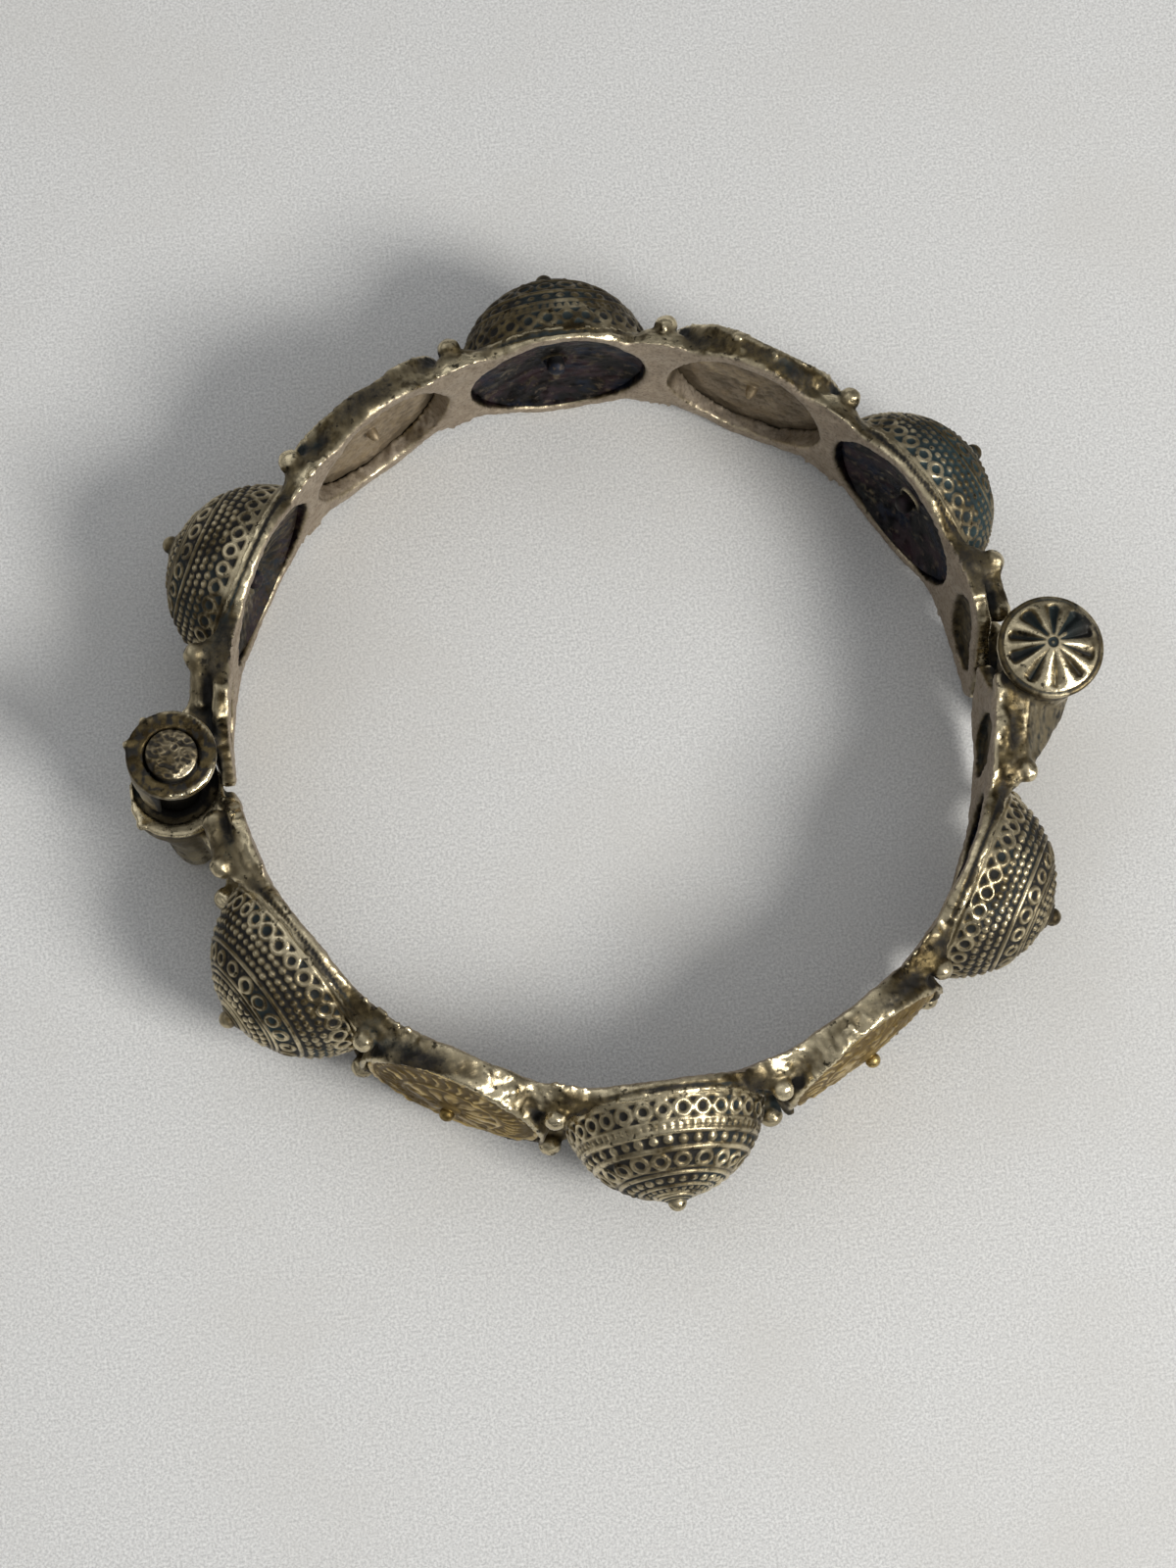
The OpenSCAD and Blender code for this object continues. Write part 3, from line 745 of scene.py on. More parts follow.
    # painted shade: the cup and the wall above it are made near black, as a deep recess in shade
    if which == "front":
        painted_cup_shade = hinge_side * smooth(q_end, 3.50, 3.35) * smooth(v[:, 2], 8.05, 7.8) * smooth(v[:, 2], 6.35, 6.7)
    else:
        own = v[:, 1] / np.maximum(q_end, 0.1)
        painted_cup_shade = hinge_side * smooth(q_end, 3.9, 3.6) * smooth(v[:, 2], 15.7, 15.2) * smooth(own, 0.55, 0.1) * smooth(
            (np.abs(v[:, 0]) - JOINT_X) / np.maximum(q_end, 0.1), 0.75, 0.45)
    cav = cav * (1 - 0.97 * painted_cup_shade)
    edge = edge * (1 - 0.9 * painted_cup_shade)
    if which == "back":
        own = v[:, 1] / np.maximum(q_end, 0.1)
        # painted highlight: parts of the outer rim of the end disc are made bright
        rim = smooth(q_end, 3.12, 3.3) * smooth(own, -0.25, -0.6) * smooth(-v[:, 0] - JOINT_X, 1.2, 0.2) * hinge_side * smooth(v[:, 2], 15.4, 15.7)
        rim2 = 0.8 * smooth(q_end, 3.2, 3.38) * smooth(own, 0.0, 0.5) * smooth(v[:, 0] + JOINT_X, -1.4, 0.3) * hinge_side * smooth(v[:, 2], 15.4, 15.7)
        rim = np.maximum(rim, rim2) * smooth(q_end, 4.1, 3.8)
        cav = cav * (1 - disc) + disc * np.clip(0.53 + 0.30 * crust, 0.03, 0.95)
        edge = edge * (1 - disc) + disc * np.clip(0.22 + 0.3 * crust, 0, 0.5)
        tone = tone * (1 - disc) + disc * np.clip(0.75 + 0.35 * lumps, 0, 1)
        cav, edge, tone = cav * (1 - rim) + rim, edge * (1 - rim) + rim, tone * (1 - rim)
    else:
        # bright bevel on the lip, a painted highlight that is stronger towards the ring
        own = v[:, 1] / np.maximum(q_end, 0.1)
        level = smooth(v[:, 2], 7.3, 7.7) * smooth(v[:, 2], 8.6, 8.3) * hinge_side
        flat = level * smooth(q_end, 3.35, 3.5) * smooth(own, -0.2, 0.3)
        cav = np.maximum(cav, 0.62 * flat)
        lip = level * smooth(q_end, 4.05, 4.3) * smooth(own, 0.1, 0.4)
        lip = lip * (0.45 + 0.55 * smooth(np.abs(v[:, 0]) - JOINT_X, 2.5, -1.0))
        # painted highlight spot on the lip
        painted_highlight_spot = level * np.exp(-((v[:, 0] - 31.2) / 0.8) ** 2 - ((v[:, 1] - 2.3) / 1.2) ** 2)
        lip = np.maximum(lip, np.clip(1.5 * painted_highlight_spot, 0, 1))
        cav, edge, tone = np.maximum(cav, lip), np.maximum(edge, lip), tone * (1 - 0.8 * lip)
        # brushed wall under the lip
        wall = hinge_side * smooth(q_end, 2.3, 2.8) * smooth(v[:, 2], 7.3, 6.9) * smooth(v[:, 2], 0.6, 2.0) * smooth(own, -0.1, 0.3)
        cav = np.maximum(cav, wall * np.clip(0.55 + 0.12 * crust, 0, 1))
        tone = tone * (1 - 0.5 * wall)
    # bezel edges are dull
    for ua, kind in UNITS:
        if not kind:
            ar = math.radians(ua)
            w = v[:, 0] * math.sin(ar) + (v[:, 1] - SHIFT) * math.cos(ar)
            u = v[:, 0] * math.cos(ar) - (v[:, 1] - SHIFT) * math.sin(ar)
            bez = smooth(w, 31.9, 32.3) * smooth(np.hypot(u, v[:, 2] - MID_Z), 8.4, 8.2) * smooth(v[:, 2], 9.0, 7.0)
            cav, edge = cav * (1 - 0.55 * bez), edge * (1 - bez)
    flip = which == "front"
    ob = add_mesh(name, v, [f], {"cav": cav, "edge": edge, "zone": np.maximum(zone, recess * 0.8), "hollow": hollow, "tone": tone},
                  SILVER, "back_half" if which == "back" else "front_half", flip=flip)
    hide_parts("back_half" if which == "back" else "front_half")
    return ob


# ---------------------------------------------------------------- dome caps
def bump_row(h, al, phi, rho, alc, count, rad, height, phase, seed, ring=None, pit=0.0, jit=0.06):
    """Granules, or rings where ring is (centre radius, half width), in one row."""
    rnd = np.random.RandomState(seed)
    rows = np.nonzero(np.abs(np.radians(al - alc)) * rho < rad * 1.15)[0]
    if len(rows) == 0:
        return
    sl = slice(rows[0], rows[-1] + 1)
    t = phi / (2 * np.pi) * count - phase
    k = np.round(t).astype(int) % count
    du0 = (t - np.round(t)) * 2 * np.pi / count
    jx, jy = rnd.uniform(-jit, jit, count), rnd.uniform(-jit, jit, count)
    size = rnd.uniform(0.88, 1.08, count)
    tall = rnd.uniform(0.82, 1.05, count)
    a = np.radians(al[sl] - alc)[:, None] * rho
    u = du0[None, :] * rho * np.cos(np.radians(al[sl]))[:, None]
    dd = np.hypot(u - jx[k][None, :], a - jy[k][None, :]) / size[k][None, :]
    if ring is None:
        b = height * tall[k][None, :] * np.sqrt(np.clip(1 - (dd / rad) ** 2, 0, 1))
        h[sl] = np.maximum(h[sl], b)
    else:
        rc, hw = ring
        b = height * tall[k][None, :] * np.sqrt(np.clip(1 - ((dd - rc) / hw) ** 2, 0, 1))
        inside = smooth(dd, rc, rc - hw)
        h[sl] = np.where(dd < rc, np.maximum(b, -pit * inside), np.maximum(h[sl], b))


def ridge(h, al, phi, rho, alc, hw, height, wave=0.0, seed=0):
    rnd = np.random.RandomState(seed + 50)
    off = sum(rnd.uniform(-0.35, 0.35) * np.sin(k * phi + rnd.uniform(0, 6)) for k in (1, 2, 3, 5)) * 0.6
    a = (np.radians(al - alc)[:, None] - np.radians(off)[None, :]) * rho
    b = height * np.sqrt(np.clip(1 - (a / hw) ** 2, 0, 1))
    np.maximum(h, b, out=h)


def dome_cap(name, ua, kind, seed, body, flip, colour, spread, hollow_shade, streaks, outside_shade):
    nph = 288
    phi = np.linspace(0, 2 * np.pi, nph, endpoint=False)
    rho, w0 = 7.86, 29.9
    al = np.linspace(5.0, 80.0, 86)
    h = np.zeros((len(al), nph))
    rg = rho + 0.15
    if kind == 1:
        ridge(h, al, phi, rg, 8.4, 0.30, 0.24, seed=seed)
        ridge(h, al, phi, rg, 11.8, 0.20, 0.22, seed=seed + 1)
        # metal between the rings and the rim, with a small three-sided pit over each gap
        fill = 0.17 * smooth(al, 18.0, 15.5) * smooth(al, 10.5, 12)
        h = np.maximum(h, fill[:, None] * np.ones(nph))
        t = phi / (2 * np.pi) * 30 - 0.5
        du = (t - np.round(t)) * 2 * np.pi / 30
        u = np.abs(du)[None, :] * rg * np.cos(np.radians(al))[:, None]
        a = np.radians(al - 14.6)[:, None] * rg
        tri = np.maximum(u * 0.87 + a * 0.5 - 0.16, -a - 0.22)
        h = np.where(tri < 0.12, np.minimum(h, -0.06 + 0.9 * np.clip(tri, 0, 1)), h)
        bump_row(h, al, phi, rg, 18.6, 30, 0.79, 0.27, 0.0, seed + 2, ring=(0.59, 0.20), pit=0.16, jit=0.035)
        for i, (ac, cnt) in enumerate(((26.6, 60), (32.2, 60), (37.8, 60))):
            bump_row(h, al, phi, rg, ac, cnt, 0.325 - 0.012 * i, 0.27, 0.5 * (i % 2) + 0.25, seed + 3 + i, jit=0.07)
        ridge(h, al, phi, rg, 43.0, 0.17, 0.25, seed=seed + 7)
        bump_row(h, al, phi, rg, 50.8, 18, 0.77, 0.25, 0.3, seed + 8, ring=(0.57, 0.20), pit=0.14, jit=0.05)
        bump_row(h, al, phi, rg, 46.6, 18, 0.17, 0.15, 0.8, seed + 9)
        ridge(h, al, phi, rg, 57.6, 0.15, 0.24, seed=seed + 11)
        ridge(h, al, phi, rg, 60.8, 0.13, 0.23, seed=seed + 12)
        bump_row(h, al, phi, rg, 65.6, 30, 0.33, 0.26, 0.1, seed + 13)
        bump_row(h, al, phi, rg, 71.0, 23, 0.33, 0.26, 0.6, seed + 14)
        ridge(h, al, phi, rg, 75.6, 0.16, 0.24, seed=seed + 15)
        ridge(h, al, phi, rg, 79.6, 0.2, 0.22, seed=seed + 16)
    else:
        ridge(h, al, phi, rg, 8.0, 0.28, 0.24, seed=seed)
        ridge(h, al, phi, rg, 11.0, 0.18, 0.21, seed=seed + 1)
        fill = 0.16 * smooth(al, 17.0, 14.8) * smooth(al, 10, 11.4)
        h = np.maximum(h, fill[:, None] * np.ones(nph))
        t = phi / (2 * np.pi) * 30 - 0.5
        du = (t - np.round(t)) * 2 * np.pi / 30
        u = np.abs(du)[None, :] * rg * np.cos(np.radians(al))[:, None]
        a = np.radians(al - 13.8)[:, None] * rg
        tri = np.maximum(u * 0.87 + a * 0.5 - 0.14, -a - 0.20)
        h = np.where(tri < 0.12, np.minimum(h, -0.05 + 0.9 * np.clip(tri, 0, 1)), h)
        bump_row(h, al, phi, rg, 17.0, 30, 0.84, 0.27, 0.0, seed + 2, ring=(0.61, 0.23), pit=0.16, jit=0.035)
        ridge(h, al, phi, rg, 23.6, 0.16, 0.22, seed=seed + 3)
        bump_row(h, al, phi, rg, 26.4, 70, 0.30, 0.26, 0.0, seed + 4, jit=0.02)
        ridge(h, al, phi, rg, 30.2, 0.24, 0.26, seed=seed + 5)
        bump_row(h, al, phi, rg, 35.2, 34, 0.42, 0.27, 0.0, seed + 6, jit=0.04)
        ridge(h, al, phi, rg, 40.4, 0.27, 0.27, seed=seed + 7)
        bump_row(h, al, phi, rg, 48.2, 19, 0.82, 0.26, 0.0, seed + 8, ring=(0.60, 0.23), pit=0.14, jit=0.04)
        ridge(h, al, phi, rg, 54.6, 0.13, 0.20, seed=seed + 9)
        ridge(h, al, phi, rg, 58.0, 0.22, 0.25, seed=seed + 10)
        bump_row(h, al, phi, rg, 63.9, 24, 0.40, 0.26, 0.4, seed + 11, jit=0.05)
        ridge(h, al, phi, rg, 69.3, 0.18, 0.26, seed=seed + 12)
        bump_row(h, al, phi, rg, 73.6, 22, 0.25, 0.22, 0.2, seed + 13)
        ridge(h, al, phi, rg, 77.6, 0.18, 0.25, seed=seed + 14)
    # worn tops and a soft cast surface
    rnd = np.random.RandomState(seed)
    wear = 0.265 + 0.012 * np.sin(2 * phi + rnd.uniform(0, 6)) + 0.01 * np.sin(5 * phi + rnd.uniform(0, 6))
    h = np.minimum(h, wear[None, :])
    k = np.array([0.2, 0.6, 0.2])
    h2 = k[0] * np.roll(h, 1, 1) + k[1] * h + k[2] * np.roll(h, -1, 1)
    h2[1:-1] = k[0] * h2[:-2] + k[1] * h2[1:-1] + k[2] * h2[2:]
    h = h2
    cav = np.clip(h / 0.19, 0, 1)
    ar = np.radians(al)[:, None]
    r_s = (rho + h) * np.cos(ar)
    w_s = w0 + (rho + h) * np.sin(ar)
    # stepped collar, cone and ball knob
    tail = [(1.42, 37.72, 0.6), (1.40, 37.86, 0.95), (1.28, 37.93, 0.9), (1.16, 37.92, 0.15), (1.10, 37.94, 0.1), (1.02, 38.03, 0.6),
            (0.92, 38.08, 0.5), (0.82, 38.09, 0.15)]
    kr, kw = 0.74, 38.19
    for t in np.linspace(-6, 84, 12):
        tail.append((kr * math.cos(math.radians(t)), kw + kr * math.sin(math.radians(t)), 0.45 + 0.5 * smooth(t, 0, 35)))
    tr = np.array(tail)
    r_all = np.vstack([r_s, np.repeat(tr[:, :1], nph, 1)])
    w_all = np.vstack([w_s, np.repeat(tr[:, 1:2], nph, 1)])
    c_all = np.vstack([cav, np.repeat(tr[:, 2:3], nph, 1)])
    ns = len(r_all)
    # outer surface, then the hollow side with fewer points
    nin = 144
    phi_in = np.linspace(0, 2 * np.pi, nin, endpoint=False)
    q_in = np.concatenate([[7.14, 7.0], np.linspace(6.75, 1.25, 25)])
    Q, PH = np.meshgrid(q_in, phi_in, indexing="ij")
    flat = np.stack([Q * np.cos(PH), Q * np.sin(PH), 0 * Q], -1).reshape(-1, 3).astype(F32)
    grain = Waves(seed + 21, 24, 0.5, 1.5)(flat).reshape(Q.shape)
    broad = Waves(seed + 22, 8, 2.5, 6)(flat).reshape(Q.shape)
    ray = np.sin(46 * PH + 2.5 * np.sin(5 * PH + Q * 1.3) + Q * 2.2) * smooth(Q, 1.2, 2.6)
    dent = 0.035 * grain + 0.06 * broad + streaks * 0.045 * ray
    W = 30.2 + 1.45 * (1 - (Q / 7.14) ** 2) + dent * smooth(Q, 7.1, 6.6)
    pts, cv, hol = [], [], []
    pts.append(np.stack([r_all * np.cos(phi)[None], r_all * np.sin(phi)[None], w_all], -1).reshape(-1, 3))
    cv.append(c_all.ravel())
    hol.append(np.zeros(ns * nph))
    pts.append(np.array([[0, 0, kw + kr]]))
    cv.append([1.0])
    hol.append([0.0])
    i_tip = ns * nph
    i_in = i_tip + 1
    pts.append(np.stack([Q * np.cos(PH), Q * np.sin(PH), W], -1).reshape(-1, 3))
    cv.append(np.clip(0.45 - 0.16 * grain - 0.3 * streaks * ray - 0.12 * broad, 0, 0.85).ravel())
    # a few pale scratches in the near black painted shade of the dish
    scar = smooth(Waves(seed + 23, 20, 0.7, 2.4)(flat).reshape(Q.shape), 1.35, 1.6) * (Q < 6.6)
    hol.append(np.clip(hollow_shade - 0.35 * streaks * smooth(Q, 5.5, 2.0) - 0.45 * scar, 0, 1).ravel())
    # small pip standing in a ring groove in the middle of the dish
    prof = [(1.08, 31.36), (0.96, 31.66), (0.80, 31.80), (0.66, 31.5), (0.77, 31.06), (0.78, 30.74), (0.64, 30.42), (0.36, 30.24)]
    extra = np.array([[r * math.cos(t), r * math.sin(t), wz] for r, wz in prof for t in phi_in])
    pts.append(extra)
    # painted highlight on the outer edge of the groove, strongest on its upper side, and painted shade making the pip
    # near black
    cv.append(np.repeat([0.85, 0.05, 0.0, 0.05, 0.1, 0.2, 0.3, 0.4], nin))
    up = smooth(np.sin(phi_in), 0.0, 0.6)
    hol.append(np.concatenate([0.75 - 0.7 * up, np.repeat([1.0, 1.0, 1.0, 1.0, 0.98, 0.95, 0.9], nin)]))
    pts.append(np.array([[0, 0, 30.18]]))
    cv.append([0.5])
    hol.append([0.9])
    p = np.concatenate(pts)
    cv = np.concatenate([np.asarray(c, float) for c in cv])
    # painted shade: the outside of the cap is made darker as a whole
    cv[:i_in] *= 1 - outside_shade
    hol = np.concatenate([np.asarray(c, float) for c in hol])
    quads, tris = [], []
    j = np.arange(nph)
    jn = (j + 1) % nph
    for s in range(ns - 1):
        quads.append(np.stack([s * nph + j, s * nph + jn, (s + 1) * nph + jn, (s + 1) * nph + j], 1))
    s = ns - 1
    tris.append(np.stack([s * nph + j, s * nph + jn, np.full(nph, i_tip)], 1))
    n_in_rows = len(q_in) + len(prof)
    j = np.arange(nin)
    jn = (j + 1) % nin
    for s in range(n_in_rows - 1):
        b = i_in + s * nin
        quads.append(np.stack([b + j, b + nin + j, b + nin + jn, b + jn], 1))
    b = i_in + (n_in_rows - 1) * nin
    tris.append(np.stack([b + j, np.full(nin, b + nin), b + jn], 1))
    # foot: the outer ring joined to the inner ring, which has half as many points
    ratio = nph // nin
    for q in range(nin):
        o = q * ratio
        for e in range(ratio):
            a0, a1 = (o + e) % nph, (o + e + 1) % nph
            inner = i_in + (q if e < ratio // 2 else (q + 1) % nin)
            tris.append(np.array([[a1, a0, inner]]))
        tris.append(np.array([[(o + ratio // 2) % nph, i_in + q, i_in + (q + 1) % nin]]))
    quads = np.concatenate(quads)
    tris = np.concatenate(tris)
    edge = np.clip(0.25 + 0.55 * cv ** 2, 0, 1)
    # place on the unit: local X runs round the ring, local Y up, local Z out
    arr = math.radians(ua)
    e_u = np.array([math.cos(arr), -math.sin(arr), 0])
    e_w = np.array([math.sin(arr), math.cos(arr), 0])
    world = p[:, :1] * e_u + p[:, 1:2] * np.array([0, 0, 1.0]) + p[:, 2:3] * e_w + np.array([0, SHIFT, MID_Z])
    world[:, 2] = np.clip(world[:, 2], 0.03, 16.39)
    wv = Waves(seed + 9, 10, 4, 12)
    tone = np.clip(colour + spread * wv(world.astype(F32)), -1, 1)
    # e_u, up, e_w is left-handed here, so the faces are turned round
    hand = np.dot(np.cross(e_u, [0, 0, 1]), e_w)
    if hand < 0:
        quads, tris = quads[:, ::-1], tris[:, ::-1]
    return add_mesh(name, world, [quads, tris],
                    {"cav": cv, "edge": edge, "zone": np.zeros(len(p)), "hollow": hol, "tone": tone},
                    SILVER, body, flip=flip)


# ---------------------------------------------------------------- coins
def coin_piece(name, node, ua, seed, body, flip):
    """Coin with a plain rosette and leaf ring on its face, and a rough back."""
    nph = 216
    phi = np.linspace(0, 2 * np.pi, nph, endpoint=False)
    rr = np.concatenate([[0.12], np.linspace(0.25, 7.33, 58)])
    R, P = np.meshgrid(rr, phi, indexing="ij")
    h = np.zeros_like(R)
    rnd = np.random.RandomState(seed)
    # raised rim and a ring of small teeth
    h += 0.24 * smooth(R, 6.72, 6.95) * smooth(R, 7.36, 7.22)
    teeth = 0.5 + 0.5 * np.cos(64 * P)
    h += 0.13 * teeth ** 0.7 * smooth(R, 6.25, 6.38) * smooth(R, 6.68, 6.55)
    # leaf ring: slanting strokes in pairs
    band = smooth(R, 4.35, 4.7) * smooth(R, 6.15, 5.85)
    t = 34 * (P + 0.10 * np.sin(2 * P)) / (2 * np.pi)
    v = (R - 5.25) * 1.1
    stroke = np.cos(2 * np.pi * (t + 0.42 * np.abs(v) + 0.1 * np.sin(3 * P)))
    h += 0.19 * band * np.clip(stroke, -0.2, 1)
    # thin ring and a rosette of twelve petals round the stud
    h += 0.15 * np.exp(-((R - 4.05) / 0.14) ** 2)
    pet = np.abs(np.sin(6 * P))
    h += 0.17 * np.clip(pet * 1.5 - np.abs(R - 2.55) / 1.25, 0, 1) ** 0.6 * smooth(R, 1.1, 1.5)
    h += 0.12 * np.exp(-((R - 1.15) / 0.14) ** 2)
    n1 = Waves(seed, 12, 0.6, 2.4)
    pts = np.stack([R * np.cos(P), R * np.sin(P), 0 * R], -1).reshape(-1, 3).astype(F32)
    h = np.clip(h, 0, 0.26) * (0.82 + 0.16 * n1(pts).reshape(R.shape)) + 0.03 * n1(pts * 0.7).reshape(R.shape)
    face_w = 32.22 + 0.72 * (1 - (np.minimum(R, 7.0) / 7.0) ** 2)
    wt = face_w + h
    # stud with its ball
    studs = [(1.02, 32.92), (0.98, 33.10), (0.84, 33.20), (0.70, 33.26)]
    for a in np.linspace(-30, 82, 11):
        studs.append((0.62 * math.cos(math.radians(a)), 33.58 + 0.58 * math.sin(math.radians(a))))
    keep = rr > 1.06
    outer = np.nonzero(keep)[0][::-1]
    rows_r, rows_w, rows_c = [], [], []
    for i in outer:
        rows_r.append(np.full(nph, rr[i]))
        rows_w.append(wt[i])
        rows_c.append(np.clip(h[i] / 0.2, 0, 1))
    for r, w in studs:
        rows_r.append(np.full(nph, r))
        rows_w.append(np.full(nph, w))
        rows_c.append(np.full(nph, 0.9 if w > 33.3 else 0.4))
    # side and back, from the rim down and inwards
    front_r, front_w, front_c = np.array(rows_r), np.array(rows_w), np.array(rows_c)
    nb = 108
    phb = np.linspace(0, 2 * np.pi, nb, endpoint=False)
    rb = np.concatenate([np.linspace(7.33, 0.62, 28), [0.5, 0.497, 0.48, 0.44, 0.36, 0.25, 0.12]])
    RB, PB = np.meshgrid(rb, phb, indexing="ij")
    n2, n3 = Waves(seed + 3, 16, 0.5, 1.2), Waves(seed + 4, 8, 2, 6)
    pb = np.stack([RB * np.cos(PB), RB * np.sin(PB), 0 * RB], -1).reshape(-1, 3).astype(F32)
    hb = 0.030 * n2(pb).reshape(RB.shape) + 0.03 * n3(pb).reshape(RB.shape)
    hb += 0.07 * np.exp(-((RB - 2.0) / 0.16) ** 2) + 0.06 * np.exp(-((RB - 5.3) / 0.2) ** 2) + 0.05 * np.exp(-((RB - 1.1) / 0.12) ** 2)
    hb += 1.12 * np.sqrt(np.clip(1 - (RB / 0.5) ** 2, 0, 1))
    wb = 31.42 - hb
    p_front = np.stack([front_r * np.cos(phi), front_r * np.sin(phi), front_w], -1).reshape(-1, 3)
    p_back = np.stack([RB * np.cos(PB), RB * np.sin(PB), wb], -1).reshape(-1, 3)
    nf = len(front_r)
    i_tip = nf * nph
    i_b = i_tip + 1
    i_bt = i_b + len(p_back)
    p = np.concatenate([p_front, [[0, 0, 34.17]], p_back, [[0, 0, 31.42 - 1.13]]])
    cav = np.concatenate([front_c.ravel(), [1.0], np.clip(0.42 + 2.2 * hb.ravel(), 0, 1), [0.9]])
    quads, tris = [], []
    j = np.arange(nph)
    jn = (j + 1) % nph
    for s in range(nf - 1):
        quads.append(np.stack([s * nph + j, s * nph + jn, (s + 1) * nph + jn, (s + 1) * nph + j], 1))
    tris.append(np.stack([(nf - 1) * nph + j, (nf - 1) * nph + jn, np.full(nph, i_tip)], 1))
    j = np.arange(nb)
    jn = (j + 1) % nb
    for s in range(len(rb) - 1):
        b = i_b + s * nb
        quads.append(np.stack([b + j, b + nb + j, b + nb + jn, b + jn], 1))
    b = i_b + (len(rb) - 1) * nb
    tris.append(np.stack([b + j, np.full(nb, i_bt), b + jn], 1))
    for q in range(nb):
        a0, a1, a2 = 2 * q, 2 * q + 1, (2 * q + 2) % nph
        b0, b1 = i_b + q, i_b + (q + 1) % nb
        tris.append(np.array([[a1, a0, b0], [a2, a1, b1], [a1, b0, b1]]))
    quads = np.concatenate(quads)
    tris = np.concatenate(tris)
    arr = math.radians(ua)
    e_u = np.array([math.cos(arr), -math.sin(arr), 0])
    e_w = np.array([math.sin(arr), math.cos(arr), 0])
    spin = rnd.uniform(0, 6.28)
    cs, sn = math.cos(spin), math.sin(spin)
    px, py = p[:, 0] * cs - p[:, 1] * sn, p[:, 0] * sn + p[:, 1] * cs
    world = px[:, None] * e_u + py[:, None] * np.array([0, 0, 1.0]) + p[:, 2:3] * e_w + np.array([0, SHIFT, MID_Z])
    if np.dot(np.cross(e_u, [0, 0, 1]), e_w) < 0:
        quads, tris = quads[:, ::-1], tris[:, ::-1]
    edge = np.clip(0.2 + 0.6 * cav, 0, 1)
    isb = np.zeros(len(p))
    isb[i_b:] = 1
    # painted shade: the back is darker towards the wall of the window
    rim = smooth(np.hypot(p[:, 0], p[:, 1]), 4.6, 6.9)
    cav = cav * (1 - 0.6 * isb * rim)
    ob = add_mesh(name, world, [quads, tris],
                  {"cav": cav, "edge": edge * (1 - isb), "zone": 0.62 * isb, "hollow": 0 * isb, "tone": 0.35 * isb},
                  GOLDEN, body, flip=flip)
    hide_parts(node)
    return ob


# ---------------------------------------------------------------- pins
def turned(name, rows, nph, centre, material, body, node, cav_rows=None, tone=0.1):
    """Closed piece from rows of (radius array or number, height array or number) round a vertical axis."""
    phi = np.linspace(0, 2 * np.pi, nph, endpoint=False)
    pr = np.array([np.broadcast_to(r, nph) for r, _ in rows])
    pz = np.array([np.broadcast_to(w, nph) for _, w in rows])
    p = np.stack([centre[0] + pr * np.cos(phi), centre[1] + pr * np.sin(phi), pz], -1).reshape(-1, 3)
    n = len(rows)
    top, bot = pz[-1].mean(), pz[0].mean()
    p = np.concatenate([p, [[centre[0], centre[1], top]], [[centre[0], centre[1], bot]]])
    j = np.arange(nph)
    jn = (j + 1) % nph
    quads = np.concatenate([np.stack([s * nph + j, s * nph + jn, (s + 1) * nph + jn, (s + 1) * nph + j], 1) for s in range(n - 1)])
    tris = np.concatenate([np.stack([(n - 1) * nph + j, (n - 1) * nph + jn, np.full(nph, n * nph)], 1),
                           np.stack([j, np.full(nph, n * nph + 1), jn], 1)])
    cav = np.concatenate([np.array([np.broadcast_to(c, nph) for c in cav_rows]).ravel(), [cav_rows[-1] if np.isscalar(cav_rows[-1]) else cav_rows[-1].mean(), 0.5]])
    edge = np.clip(cav * 1.1 - 0.15, 0, 1)
    z = np.zeros(len(p))
    ob = add_mesh(name, p, [quads, tris], {"cav": cav, "edge": edge, "zone": z, "hollow": z, "tone": z + tone},
                  material, body)
    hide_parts(node)
    return ob


